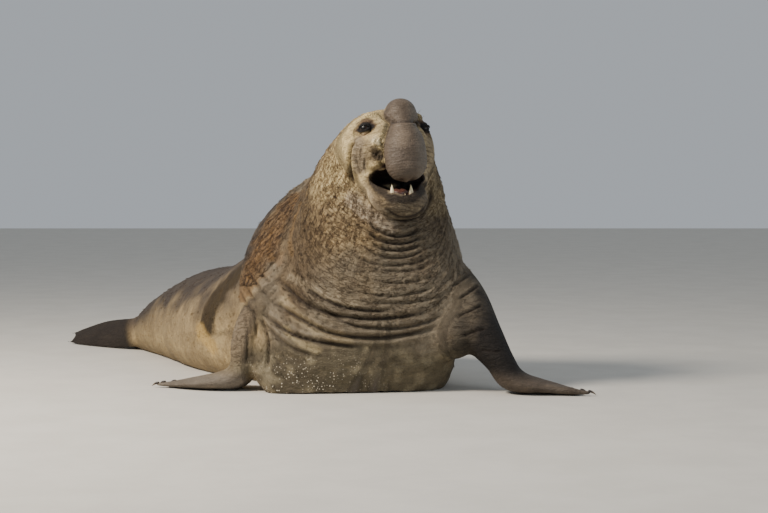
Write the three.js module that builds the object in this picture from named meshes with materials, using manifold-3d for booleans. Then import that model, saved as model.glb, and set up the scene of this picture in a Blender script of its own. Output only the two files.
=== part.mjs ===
// A bull southern elephant seal, life size, reared up on its fore flippers with its mouth open and its
// proboscis blown up. Millimetres, +Z up, the chest facing -Y, the floor at z = 0.
// "Left" and "right" are the animal's own sides: its left fore flipper lies towards +X.
import * as THREE from "three";
import { LoftGeometry } from "three/addons/geometries/LoftGeometry.js";
import { mergeVertices } from "three/addons/utils/BufferGeometryUtils.js";
import Module from "manifold-3d";

const wasm = await Module();
wasm.setup();

// Spacing between pieces that meet
const GAP = 0.3;

// The plan of the spine: straight under the chest, then an arc, then straight to the tail.
// q runs backwards along it from the front of the chest.
const SPINE_X = -150;
const BEND_START = 261;
const BEND_RADIUS = 900;
const BEND_ANGLE = THREE.MathUtils.degToRad(38.1);

// The head: the midpoint between the eyes, its turn to the animal's left and its lift
const EYE_MIDPOINT = new THREE.Vector3(42, 160, 1474);
const HEAD_YAW = THREE.MathUtils.degToRad(17);
const HEAD_PITCH = THREE.MathUtils.degToRad(14);
const EYE_RADIUS = 34;
const EYE_FORWARD = 60;
const EYE_SIDE = 170;
const EYE_UP = -8;
const EYE_TURN = THREE.MathUtils.degToRad(52);

// Skin folds across the throat and chest: between which trunk stations, how many to a station, how deep
const FOLDS_FROM = 12;
const FOLDS_TO = 19.2;
const FOLDS_PER_STATION = 1.5;
const FOLD_DEPTH = 13;

// Rings per trunk station behind the folds and along them, and points round each kind of loft
const TRUNK_RINGS = 1.5;
const FOLD_RINGS = 4.5;
const TRUNK_SIDES = 36;

// Trunk stations, tail to crown. back and belly are [q, z] on the midline and half is the half width.
// middle is how far up from belly to back the widest place lies, lean a shift to the animal's left,
// over and under how square the section is above and below the widest place (2 is an ellipse)
const TRUNK = [
  { back: [3230, 120], belly: [3225, 20], half: 60, middle: 0.50, lean: 5, over: 2, under: 2 },
  { back: [3170, 215], belly: [3160, -20], half: 123, middle: 0.48, lean: 47, over: 2, under: 2 },
  { back: [3040, 305], belly: [3030, -45], half: 193, middle: 0.46, lean: 69, over: 2, under: 2.2 },
  { back: [2850, 395], belly: [2840, -55], half: 269, middle: 0.45, lean: 77, over: 2, under: 2.2 },
  { back: [2540, 510], belly: [2520, -65], half: 356, middle: 0.44, lean: 75, over: 2, under: 2.4 },
  { back: [2180, 600], belly: [2180, -70], half: 440, middle: 0.44, lean: 50, over: 2, under: 2.6 },
  { back: [1800, 645], belly: [1820, -75], half: 528, middle: 0.44, lean: 20, over: 2, under: 2.8 },
  { back: [1520, 705], belly: [1450, -80], half: 590, middle: 0.44, lean: 10, over: 2, under: 3 },
  { back: [1300, 810], belly: [1080, -80], half: 630, middle: 0.43, lean: 30, over: 2, under: 3.2 },
  { back: [1130, 940], belly: [720, -80], half: 650, middle: 0.42, lean: 50, over: 2, under: 3.6 },
  { back: [1000, 1070], belly: [360, -80], half: 640, middle: 0.41, lean: 15, over: 2, under: 4 },
  { back: [900, 1175], belly: [20, -70], half: 612, middle: 0.40, lean: 18, over: 2, under: 4 },
  { back: [830, 1255], belly: [-75, 80], half: 585, middle: 0.40, lean: 58, over: 2, under: 3.4 },
  { back: [775, 1325], belly: [-100, 250], half: 540, middle: 0.40, lean: 130, over: 2, under: 3 },
  { back: [725, 1385], belly: [-105, 420], half: 475, middle: 0.40, lean: 148, over: 2, under: 2.6 },
  { back: [680, 1435], belly: [-85, 590], half: 425, middle: 0.41, lean: 142, over: 2, under: 2.4 },
  { back: [635, 1480], belly: [-40, 740], half: 391, middle: 0.42, lean: 149, over: 2, under: 2.2 },
  { back: [590, 1515], belly: [10, 870], half: 361, middle: 0.44, lean: 160, over: 2, under: 2.1 },
  { back: [540, 1545], belly: [55, 985], half: 326, middle: 0.46, lean: 167, over: 2, under: 2 },
  { back: [480, 1572], belly: [110, 1090], half: 291, middle: 0.48, lean: 168, over: 2, under: 2 },
  { back: [410, 1590], belly: [170, 1190], half: 259, middle: 0.50, lean: 162, over: 2, under: 2 },
  { back: [340, 1580], belly: [220, 1290], half: 226, middle: 0.50, lean: 154, over: 2, under: 2 },
];

// Smooth value of a list at a fractional place, by Catmull and Rom's cubic
function along(values, t) {
  const last = values.length - 1;
  const i = Math.min(Math.floor(t), last - 1);
  const u = t - i;
  const b = values[i];
  const c = values[i + 1];
  const a = i > 0 ? values[i - 1] : 2 * b - c;
  const d = i + 2 <= last ? values[i + 2] : 2 * c - b;
  return 0.5 * (2 * b + (c - a) * u + (2 * a - 5 * b + 4 * c - d) * u * u + (3 * b - a - 3 * c + d) * u ** 3);
}

const smoothstep = THREE.MathUtils.smoothstep;

// Place on the floor plan of the spine and the spine's heading there
function plan(q) {
  const arc = BEND_RADIUS * BEND_ANGLE;
  const heading = THREE.MathUtils.clamp((q - BEND_START) / BEND_RADIUS, 0, BEND_ANGLE);
  const place = new THREE.Vector2(SPINE_X, Math.min(q, BEND_START));
  place.x -= BEND_RADIUS * (1 - Math.cos(heading));
  place.y += BEND_RADIUS * Math.sin(heading);
  const past = Math.max(q - BEND_START - arc, 0);
  place.x -= past * Math.sin(BEND_ANGLE);
  place.y += past * Math.cos(BEND_ANGLE);
  return { place, heading };
}

// One closed section: points on a rounded oval, as square above and below its middle as over and under
function oval({ centre, side, up, half, rise, drop, over = 2, under = over, sides }) {
  const points = [];
  for (let i = 0; i < sides; i++) {
    const angle = (2 * Math.PI * i) / sides;
    const s = Math.sin(angle);
    const c = Math.cos(angle);
    const power = 2 / (c > 0 ? over : under);
    const across = Math.sign(s) * Math.abs(s) ** power * half;
    const height = Math.sign(c) * Math.abs(c) ** power * (c > 0 ? rise : drop);
    points.push(centre.clone().addScaledVector(side, across).addScaledVector(up, height));
  }
  return points;
}

// A closed solid from a three.js geometry
function solid(geometry) {
  const bare = new THREE.BufferGeometry();
  bare.setIndex(geometry.index);
  bare.setAttribute("position", geometry.attributes.position);
  const merged = mergeVertices(bare, 1e-3);
  const vertProperties = merged.attributes.position.array;
  const triVerts = new Uint32Array(merged.index.array);
  return new wasm.Manifold(new wasm.Mesh({ numProp: 3, vertProperties, triVerts }));
}

// A closed solid through sections, whichever way round their points run
function loft(sections) {
  const middle = (ring) => ring.reduce((sum, p) => sum.add(p), new THREE.Vector3()).divideScalar(ring.length);
  const [first, second] = sections;
  const centre = middle(first);
  const facing = new THREE.Vector3();
  first.forEach((p, i) => {
    const next = first[(i + 1) % first.length].clone().sub(centre);
    facing.add(p.clone().sub(centre).cross(next));
  });
  if (facing.dot(middle(second).sub(centre)) < 0) sections.forEach((ring) => ring.reverse());
  return solid(new LoftGeometry(sections, { capStart: true, capEnd: true }));
}

// The largest of a solid's separate bodies
function largest(made) {
  return made.decompose().reduce((a, b) => (b.volume() > a.volume() ? b : a));
}

const join = (pieces) => pieces.reduce((a, b) => a.add(b));
const onFloor = (made) => made.trimByPlane([0, 0, 1], 0);

// Trunk, neck and the back of the head

// Depth of the skin folds at a place on the trunk: rounded rolls between narrow creases
function foldAt(t, angle) {
  const start = smoothstep(t, FOLDS_FROM, FOLDS_FROM + 0.8);
  const lengthways = start * (1 - smoothstep(t, FOLDS_TO - 0.8, FOLDS_TO));
  const round = smoothstep(-Math.cos(angle), -0.25, 0.35);
  const roll = Math.abs(Math.sin(Math.PI * FOLDS_PER_STATION * (t - FOLDS_FROM))) ** 0.7;
  return FOLD_DEPTH * (roll - 0.6) * lengthways * round;
}

function trunkSection(t, grow) {
  const value = (pick) => along(TRUNK.map(pick), t);
  const end = t > 0 ? 0 : 2 * grow;
  const backQ = value((s) => s.back[0]) + end;
  const bellyQ = value((s) => s.belly[0]) + end;
  const back = plan(backQ);
  const belly = plan(bellyQ);
  const lean = value((s) => s.lean);
  const yaw = HEAD_YAW * smoothstep(t, FOLDS_FROM + 2, TRUNK.length - 2);
  const top = new THREE.Vector3(back.place.x + lean, back.place.y, value((s) => s.back[1]));
  const bottom = new THREE.Vector3(belly.place.x + lean, belly.place.y, value((s) => s.belly[1]));
  const middle = value((s) => s.middle);
  const turn = new THREE.Matrix4().makeRotationZ(yaw);
  const height = top.distanceTo(bottom);
  const up = top.clone().sub(bottom).normalize().applyMatrix4(turn);
  const heading = plan((backQ + bellyQ) / 2).heading + yaw;
  const side = new THREE.Vector3(Math.cos(heading), Math.sin(heading), 0);
  side.addScaledVector(up, -side.dot(up)).normalize();
  const centre = bottom.clone().lerp(top, 0.5).addScaledVector(up, (middle - 0.5) * height);
  const points = oval({
    centre,
    side,
    up,
    half: value((s) => s.half) + grow,
    rise: (1 - middle) * height + grow,
    drop: middle * height + grow,
    over: value((s) => s.over),
    under: value((s) => s.under),
    sides: TRUNK_SIDES,
  });
  return points.map((p, i) => {
    const outward = p.clone().sub(centre).normalize();
    return p.addScaledVector(outward, foldAt(t, (2 * Math.PI * i) / TRUNK_SIDES));
  });
}

function trunk(grow = 0) {
  const places = [];
  const last = TRUNK.length - 1;
  for (let t = 0; t < FOLDS_FROM; t += 1 / TRUNK_RINGS) places.push(t);
  for (let t = FOLDS_FROM; t < FOLDS_TO - 0.1; t += 1 / FOLD_RINGS) places.push(t);
  for (let t = Math.ceil(FOLDS_TO); t <= last; t += 1 / TRUNK_RINGS) places.push(t);
  return onFloor(loft(places.map((t) => trunkSection(t, grow))));
}

// Head pieces are drawn level, looking along -Y, with the origin midway between the eyes
const at = (side, forward, up) => new THREE.Vector3(side, -forward, up);
const headFrame = new THREE.Matrix4()
  .makeRotationZ(HEAD_YAW)
  .multiply(new THREE.Matrix4().makeRotationX(-HEAD_PITCH))
  .setPosition(EYE_MIDPOINT);

const inHead = (sections) => loft(sections.map((s) => s.map((p) => p.applyMatrix4(headFrame))));

function headBall(side, forward, up, radii) {
  const ball = new THREE.SphereGeometry(1, 12, 8);
  ball.scale(radii[0], radii[1], radii[2]);
  ball.translate(...at(side, forward, up).toArray());
  return solid(ball.applyMatrix4(headFrame));
}

// Cranium, cheeks and muzzle: sections square to the head's axis
const HEAD = [
  { forward: -270, top: 65, bottom: -330, half: 280 },
  { forward: -170, top: 124, bottom: -340, half: 302 },
  { forward: -70, top: 141, bottom: -336, half: 278 },
  { forward: 20, top: 124, bottom: -312, half: 238 },
  { forward: 95, top: 82, bottom: -278, half: 193 },
  { forward: 155, top: 18, bottom: -254, half: 152 },
  { forward: 192, top: -45, bottom: -240, half: 108 },
  { forward: 208, top: -100, bottom: -220, half: 55 },
];
const HEAD_SIDES = 26;
const HEAD_RINGS = 1.5;

function skull(grow = 0) {
  const sections = [];
  for (let t = 0; t <= HEAD.length - 1 + 1e-6; t += 1 / HEAD_RINGS) {
    const value = (name) => along(HEAD.map((s) => s[name]), t);
    const top = value("top") + grow;
    const bottom = value("bottom") - grow;
    sections.push(
      oval({
        centre: at(0, value("forward") + (t / (HEAD.length - 1)) * grow, (top + bottom) / 2),
        side: new THREE.Vector3(1, 0, 0),
        up: new THREE.Vector3(0, 0, 1),
        half: value("half") + grow,
        rise: (top - bottom) / 2,
        drop: (top - bottom) / 2,
        over: 2.2,
        sides: HEAD_SIDES,
      }),
    );
  }
  return inHead(sections);
}

// Brow, cheek at the mouth's corner, and the pad of the upper lip that carries the whiskers
function facePads(grow = 0) {
  const pads = [];
  for (const s of [-1, 1]) {
    pads.push(headBall(s * 122, 30, 62, [62 + grow, 62 + grow, 40 + grow]));
    pads.push(headBall(s * 130, -40, -262, [80 + grow, 90 + grow, 110 + grow]));
    pads.push(headBall(s * 108, 92, -226, [66 + grow, 62 + grow, 40 + grow]));
  }
  return join(pads);
}

// The proboscis: a bulb over the brow, a pinch, and a pear that hangs before the mouth.
// outer is its reach away from the face and inner its reach towards it
const NOSE = [
  { side: 10, forward: -75, up: 34, half: 45, outer: 40, inner: 30 },
  { side: 24, forward: 5, up: 60, half: 70, outer: 62, inner: 40 },
  { side: 31, forward: 60, up: 80, half: 86, outer: 88, inner: 46 },
  { side: 31, forward: 112, up: 52, half: 90, outer: 95, inner: 42 },
  { side: 27, forward: 144, up: 10, half: 68, outer: 46, inner: 34 },
  { side: 21, forward: 167, up: -40, half: 88, outer: 76, inner: 45 },
  { side: 14, forward: 187, up: -120, half: 113, outer: 88, inner: 60 },
  { side: 9, forward: 200, up: -200, half: 122, outer: 92, inner: 72 },
  { side: 5, forward: 203, up: -262, half: 120, outer: 90, inner: 76 },
  { side: 2, forward: 199, up: -308, half: 99, outer: 74, inner: 64 },
  { side: 0, forward: 194, up: -338, half: 64, outer: 44, inner: 40 },
  { side: 0, forward: 191, up: -354, half: 20, outer: 14, inner: 12 },
];
const NOSE_SIDES = 18;
const NOSE_RINGS = 1.5;

function proboscis() {
  const sections = [];
  const last = NOSE.length - 1;
  for (let t = 0; t <= last + 1e-6; t += 1 / NOSE_RINGS) {
    const value = (name, place = t) => along(NOSE.map((s) => s[name]), Math.min(Math.max(place, 0), last));
    const place = (u) => at(value("side", u), value("forward", u), value("up", u));
    const centre = place(t);
    const run = place(t + 0.5).sub(place(t - 0.5)).normalize();
    const side = new THREE.Vector3(1, 0, 0);
    sections.push(
      oval({
        centre,
        side,
        up: new THREE.Vector3().crossVectors(run, side),
        half: value("half"),
        rise: value("outer"),
        drop: value("inner"),
        over: 2.1,
        sides: NOSE_SIDES,
      }),
    );
  }
  return inHead(sections);
}

function nostrils() {
  return join([-1, 1].map((s) => headBall(s * 30, 205, -352, [15, 22, 24])));
}

// The lower jaw: stations from hinge to chin, along a line that drops forwards
const JAW = [
  { forward: -50, up: -332, half: 172, rise: 80, drop: 105 },
  { forward: 30, up: -382, half: 172, rise: 78, drop: 108 },
  { forward: 95, up: -432, half: 158, rise: 76, drop: 108 },
  { forward: 142, up: -468, half: 132, rise: 78, drop: 90 },
  { forward: 172, up: -480, half: 100, rise: 64, drop: 68 },
  { forward: 190, up: -486, half: 44, rise: 30, drop: 32 },
];
const JAW_SIDES = 20;
const JAW_RINGS = 2;

function jaw() {
  const first = JAW[0];
  const end = JAW[JAW.length - 1];
  const run = at(0, end.forward - first.forward, end.up - first.up).normalize();
  const side = new THREE.Vector3(1, 0, 0);
  const up = new THREE.Vector3().crossVectors(run, side).negate();
  const sections = [];
  for (let t = 0; t <= JAW.length - 1; t += 1 / JAW_RINGS) {
    const value = (name) => along(JAW.map((s) => s[name]), t);
    sections.push(
      oval({
        centre: at(0, value("forward"), value("up")),
        side,
        up,
        half: value("half"),
        rise: value("rise"),
        drop: value("drop"),
        over: 2.3,
        sides: JAW_SIDES,
      }),
    );
  }
  return inHead(sections);
}

// The hollow of the mouth, from the throat to past the lips
const MOUTH = [
  { forward: -95, up: -300, half: 50, rise: 18, drop: 30 },
  { forward: -30, up: -298, half: 105, rise: 30, drop: 58 },
  { forward: 30, up: -288, half: 158, rise: 44, drop: 92 },
  { forward: 90, up: -284, half: 178, rise: 54, drop: 116 },
  { forward: 140, up: -284, half: 184, rise: 58, drop: 128 },
  { forward: 250, up: -280, half: 196, rise: 66, drop: 146 },
];

function mouthHollow(grow = 0) {
  const sections = MOUTH.map((s) =>
    oval({
      centre: at(0, s.forward, s.up),
      side: new THREE.Vector3(1, 0, 0),
      up: new THREE.Vector3(0, 0, 1),
      half: s.half + grow,
      rise: s.rise + grow,
      drop: s.drop + grow,
      over: 1.8,
      under: 1.3,
      sides: 20,
    }),
  );
  return inHead(sections);
}

// A curved cone in the head's frame, for a tooth
function tooth(foot, tip, size, grow) {
  const radius = size + grow;
  const axis = tip.clone().sub(foot);
  axis.setLength(axis.length() + grow);
  const side = new THREE.Vector3(1, 0, 0);
  const up = new THREE.Vector3().crossVectors(side, axis).normalize();
  const sections = [0, 0.35, 0.7, 1].map((t) =>
    oval({
      centre: foot.clone().addScaledVector(axis, t).addScaledVector(up, radius * 0.5 * t * t),
      side,
      up,
      half: radius * (1.02 - t ** 1.6),
      rise: radius * (1.02 - t ** 1.6),
      drop: radius * (1.02 - t ** 1.6),
      sides: 8,
    }),
  );
  return inHead(sections);
}

function lowerTeeth() {
  const teeth = [-1, 1].map((s) => tooth(at(s * 56, 134, -462), at(s * 55, 152, -352), 15, 0));
  for (const s of [-1, 1]) teeth.push(tooth(at(s * 16, 150, -465), at(s * 16, 156, -412), 7, 0));
  return join(teeth);
}

function upperTeeth(grow = 0) {
  const teeth = [-1, 1].map((s) => tooth(at(s * 62, 112, -216), at(s * 62, 116, -302), 15, grow));
  for (const s of [-1, 1])
    for (const x of [12, 34]) teeth.push(tooth(at(s * x, 106, -222), at(s * x, 108, -276), 7, grow));
  return join(teeth);
}

// Two halves side by side leave the groove along the tongue's middle
function tongue() {
  return join([-1, 1].map((s) => headBall(s * 22, 52, -394, [44, 70, 36])));
}

// Eyeball, and the lids round it as tapered rolls that follow its surface
function eyeCentre(s) {
  return at(s * EYE_SIDE, EYE_FORWARD, EYE_UP);
}

function eyeBall(s, radius) {
  const ball = new THREE.SphereGeometry(radius, 14, 8);
  ball.translate(...eyeCentre(s).toArray());
  return solid(ball.applyMatrix4(headFrame));
}

const LIDS = [
  { height: 19, thick: 9 },
  { height: -18, thick: 8 },
];

function lid(s, { height, thick }) {
  const out = at(s * Math.sin(EYE_TURN), Math.cos(EYE_TURN), 0.1).normalize();
  const across = new THREE.Vector3(0, 0, 1).cross(out).normalize();
  const up = new THREE.Vector3().crossVectors(out, across);
  const reach = EYE_RADIUS + 1;
  const halfWidth = 31;
  const sections = [];
  for (let i = 0; i <= 6; i++) {
    const angle = Math.PI * (0.02 + (0.96 * i) / 6);
    const x = halfWidth * Math.cos(angle);
    const y = height * Math.sin(angle);
    const z = Math.sqrt(reach ** 2 - x ** 2 - y ** 2);
    const centre = eyeCentre(s).addScaledVector(across, x).addScaledVector(up, y).addScaledVector(out, z);
    const away = up.clone().multiplyScalar(Math.sign(height));
    const size = thick * (0.6 + 0.4 * Math.sin(angle));
    centre.addScaledVector(away, size * 0.8);
    sections.push(oval({ centre, side: out, up: away, half: size * 0.8, rise: size, drop: size, sides: 6 }));
  }
  return inHead(sections);
}

// Flippers: a tapering arm and blade, and digits raised on it. Stations are places on the floor frame.
// broad is the half breadth, thick the half thickness, lead the direction of the leading edge
function blade(stations, rings, sides) {
  const value = (pick, t) => along(stations.map(pick), t);
  const place = (t) => new THREE.Vector3(...[0, 1, 2].map((k) => value((s) => s.at[k], t)));
  const last = stations.length - 1;
  const sections = [];
  for (let t = 0; t <= last + 1e-6; t += 1 / rings) {
    const run = place(Math.min(t + 0.1, last)).sub(place(Math.max(t - 0.1, 0))).normalize();
    const lead = new THREE.Vector3(...[0, 1, 2].map((k) => value((s) => s.lead[k], t)));
    lead.addScaledVector(run, -lead.dot(run)).normalize();
    const over = new THREE.Vector3().crossVectors(run, lead);
    const half = value((s) => s.broad, t);
    const thick = value((s) => s.thick, t);
    sections.push(oval({ centre: place(t), side: lead, up: over, half, rise: thick, drop: thick, sides }));
  }
  return loft(sections);
}

// One digit from knuckle to tip, ending in a nail when nail is its length
function digit({ from, to, wide, high, nail = 0 }) {
  const foot = new THREE.Vector3(...from);
  const tip = new THREE.Vector3(...to);
  const run = tip.clone().sub(foot).normalize();
  const side = new THREE.Vector3(0, 0, 1).cross(run).normalize();
  const up = new THREE.Vector3().crossVectors(run, side);
  const sizes = [0.7, 1, 0.92, 0.8, 0.62, 0.3];
  const places = [0, 0.25, 0.5, 0.75, 0.94, 1];
  const ring = (t, size, w, h) => {
    const centre = foot.clone().lerp(tip, t);
    return oval({ centre, side, up, half: w * size, rise: h * size, drop: h * size, sides: 7 });
  };
  const finger = loft(places.map((t, i) => ring(t, sizes[i], wide, high)));
  if (!nail) return finger;
  const nailTip = tip.clone().addScaledVector(run, nail);
  nailTip.z = 6;
  const nailFoot = tip.clone().addScaledVector(run, -nail * 0.8);
  nailFoot.z += high * 0.35;
  const claw = [0, 0.5, 1].map((t) => {
    const size = 1.05 - t;
    const centre = nailFoot.clone().lerp(nailTip, t);
    return oval({ centre, side, up, half: 10 * size, rise: 8 * size, drop: 8 * size, sides: 6 });
  });
  return finger.add(loft(claw));
}

const LEFT_ARM = [
  { at: [180, 400, 690], broad: 240, thick: 210, lead: [0, -1, 0] },
  { at: [400, 230, 500], broad: 215, thick: 190, lead: [0, -1, 0] },
  { at: [552, 70, 315], broad: 162, thick: 125, lead: [0, -1, 0] },
  { at: [645, -5, 185], broad: 130, thick: 88, lead: [0, -1, 0] },
  { at: [702, -38, 96], broad: 128, thick: 80, lead: [0, -1, 0] },
  { at: [780, -48, 58], broad: 142, thick: 62, lead: [0, -1, 0] },
  { at: [865, -50, 44], broad: 142, thick: 47, lead: [0.1, -1, 0] },
  { at: [950, -58, 32], broad: 125, thick: 34, lead: [0.1, -1, 0] },
  { at: [1030, -85, 20], broad: 88, thick: 23, lead: [0.1, -1, 0] },
  { at: [1095, -118, 11], broad: 40, thick: 13, lead: [0.1, -1, 0] },
];
const LEFT_DIGITS = [
  { from: [740, -132, 52], to: [1148, -175, 17], wide: 36, high: 30 },
  { from: [760, -92, 62], to: [1112, -104, 16], wide: 32, high: 28 },
  { from: [760, -46, 64], to: [1062, -40, 15], wide: 30, high: 27 },
  { from: [760, 0, 60], to: [1002, 22, 15], wide: 30, high: 26 },
  { from: [750, 45, 54], to: [935, 80, 15], wide: 30, high: 25 },
];
const RIGHT_ARM = [
  { at: [-430, 430, 640], broad: 220, thick: 190, lead: [0, -1, 0] },
  { at: [-610, 290, 510], broad: 190, thick: 145, lead: [0, -1, 0] },
  { at: [-730, 190, 385], broad: 155, thick: 112, lead: [0, -1, 0] },
  { at: [-782, 140, 260], broad: 136, thick: 94, lead: [-0.1, -1, 0] },
  { at: [-790, 125, 150], broad: 130, thick: 84, lead: [-0.2, -1, 0] },
  { at: [-835, 140, 74], broad: 150, thick: 74, lead: [-0.25, -1, 0] },
  { at: [-940, 172, 48], broad: 165, thick: 54, lead: [-0.3, -1, 0] },
  { at: [-1060, 210, 34], broad: 150, thick: 39, lead: [-0.3, -1, 0] },
  { at: [-1165, 238, 22], broad: 110, thick: 27, lead: [-0.35, -1, 0] },
  { at: [-1250, 255, 9], broad: 55, thick: 12, lead: [-0.4, -1, 0] },
];
const RIGHT_DIGITS = [
  { from: [-860, 60, 48], to: [-1315, 225, 17], wide: 36, high: 28 },
  { from: [-880, 105, 54], to: [-1285, 290, 16], wide: 32, high: 26 },
  { from: [-890, 155, 54], to: [-1230, 345, 15], wide: 30, high: 25 },
  { from: [-885, 205, 50], to: [-1155, 385, 15], wide: 30, high: 24 },
  { from: [-875, 250, 44], to: [-1075, 410, 15], wide: 30, high: 23 },
];
const NAIL = 34;

const foreFlipper = (arm, digits) =>
  onFloor(join([blade(arm, 1.5, 16), ...digits.map((d) => digit({ ...d, nail: NAIL }))]));

// Hind flippers trail behind, folded and tilted, their outer digits longest
const RIGHT_HIND = [
  { at: [-1500, 2260, 150], broad: 105, thick: 85, lead: [-0.3, -0.3, -0.9] },
  { at: [-1680, 2380, 128], broad: 112, thick: 66, lead: [-0.3, -0.3, -0.9] },
  { at: [-1840, 2500, 106], broad: 108, thick: 48, lead: [-0.3, -0.3, -0.9] },
  { at: [-1990, 2620, 90], broad: 98, thick: 36, lead: [-0.3, -0.35, -0.9] },
  { at: [-2130, 2735, 66], broad: 74, thick: 25, lead: [-0.3, -0.4, -0.8] },
  { at: [-2250, 2835, 48], broad: 40, thick: 14, lead: [-0.3, -0.5, -0.7] },
];
const LEFT_HIND = [
  { at: [-1430, 2420, 150], broad: 100, thick: 80, lead: [0.6, 0.5, -0.6] },
  { at: [-1520, 2590, 108], broad: 106, thick: 58, lead: [0.6, 0.5, -0.6] },
  { at: [-1630, 2750, 78], broad: 114, thick: 42, lead: [0.6, 0.5, -0.5] },
  { at: [-1760, 2890, 58], broad: 118, thick: 31, lead: [0.6, 0.5, -0.4] },
  { at: [-1890, 3010, 38], broad: 95, thick: 22, lead: [0.6, 0.5, -0.3] },
  { at: [-2000, 3105, 22], broad: 52, thick: 13, lead: [0.6, 0.5, -0.2] },
];
// Each digit runs at a share across the blade, from -1 at its trailing edge to 1, and a share beyond it
const HIND_DIGITS = [
  { across: 0.82, reach: 1.0 },
  { across: 0.42, reach: 0.72 },
  { across: 0.0, reach: 0.6 },
  { across: -0.42, reach: 0.72 },
  { across: -0.82, reach: 0.96 },
];

function hindDigit(stations, { across, reach }) {
  const value = (pick, t) => along(stations.map(pick), t);
  const place = (t) => new THREE.Vector3(...[0, 1, 2].map((k) => value((s) => s.at[k], t)));
  const last = stations.length - 1;
  const sections = [];
  for (let i = 0; i <= 6; i++) {
    const t = 1 + ((last - 1) * i) / 6;
    const run = place(Math.min(t + 0.1, last)).sub(place(Math.max(t - 0.1, 0))).normalize();
    const lead = new THREE.Vector3(...[0, 1, 2].map((k) => value((s) => s.lead[k], t)));
    lead.addScaledVector(run, -lead.dot(run)).normalize();
    const over = new THREE.Vector3().crossVectors(run, lead);
    const spread = Math.min(value((s) => s.broad, t) + 22 * (i / 6), 118) * (1 - 0.3 * (i / 6) ** 2);
    const centre = place(t).addScaledVector(lead, across * spread);
    centre.addScaledVector(run, 150 * (reach - 0.6) * (i / 6) ** 2);
    const size = [0.7, 0.95, 1, 0.95, 0.85, 0.65, 0.3][i];
    centre.z = Math.max(centre.z, 16 * size);
    const round = { half: 26 * size, rise: 24 * size, drop: 24 * size, sides: 7 };
    sections.push(oval({ centre, side: lead, up: over, ...round }));
  }
  return loft(sections);
}

const hindFlipper = (stations) =>
  onFloor(join([blade(stations, 1.5, 16), ...HIND_DIGITS.map((d) => hindDigit(stations, d))]));

// A short flat tail between the hind flippers
const TAIL = [
  { at: [-1640, 2480, 170], broad: 95, thick: 50, lead: [0.79, 0.62, 0] },
  { at: [-1760, 2630, 152], broad: 72, thick: 38, lead: [0.79, 0.62, 0] },
  { at: [-1840, 2732, 136], broad: 52, thick: 27, lead: [0.79, 0.62, 0] },
  { at: [-1890, 2796, 126], broad: 22, thick: 12, lead: [0.79, 0.62, 0] },
];

// Cuts between the parts of the trunk, each a plane square to the spine at a trunk station
function stationPlane(t) {
  const ring = trunkSection(t, 0);
  const n = ring.length;
  const a = ring[0];
  const b = ring[Math.round(n / 4)];
  const c = ring[Math.round(n / 2)];
  const normal = new THREE.Vector3().crossVectors(b.clone().sub(a), c.clone().sub(a)).normalize();
  const ahead = trunkSection(t + 1, 0)[0].clone().sub(a);
  if (normal.dot(ahead) < 0) normal.negate();
  return { normal, offset: normal.dot(a) };
}

// The neck's plane: from the nape down to the chest above the flippers
function planeThrough(points) {
  const [a, b, c] = points;
  const normal = new THREE.Vector3().crossVectors(b.clone().sub(a), c.clone().sub(a)).normalize();
  if (normal.z < 0) normal.negate();
  return { normal, offset: normal.dot(a) };
}

const ahead = (made, { normal, offset }) => made.trimByPlane(normal.toArray(), offset + GAP / 2);
const behind = (made, { normal, offset }) =>
  made.trimByPlane(normal.clone().negate().toArray(), -offset + GAP / 2);

const HIPS_STATION = 5;
const WAIST_STATION = 7.5;
const hipsPlane = stationPlane(HIPS_STATION);
const waistPlane = stationPlane(WAIST_STATION);
const neckPlane = planeThrough([
  new THREE.Vector3(-150, 880, 1060),
  new THREE.Vector3(-150, -100, 640),
  new THREE.Vector3(450, 390, 850),
]);
const headPlane = planeThrough([
  new THREE.Vector3(0, 480, 1470),
  new THREE.Vector3(60, -30, 985),
  new THREE.Vector3(300, 330, 1228),
]);

// Materials
const skin = (color, roughness = 0.75) => new THREE.MeshStandardMaterial({ color, roughness, metalness: 0 });
const COLOURS = {
  head: 0xb09a72,
  proboscis: 0x7c6c5c,
  chest: 0x8a7a60,
  flank: 0x8f7c60,
  flipper: 0x6a5a4a,
  hind: 0x5a4a40,
};

const body = new THREE.Group();

function add(name, made, material) {
  const { numProp, vertProperties, triVerts } = largest(made).getMesh();
  const position = new Float32Array((vertProperties.length / numProp) * 3);
  for (let i = 0; i < position.length / 3; i++)
    position.set(vertProperties.subarray(i * numProp, i * numProp + 3), i * 3);
  const geometry = new THREE.BufferGeometry();
  geometry.setAttribute("position", new THREE.BufferAttribute(position, 3));
  geometry.setIndex(new THREE.BufferAttribute(triVerts, 1));
  geometry.computeVertexNormals();
  const mesh = new THREE.Mesh(geometry, material);
  mesh.name = name;
  body.add(mesh);
}

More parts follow.
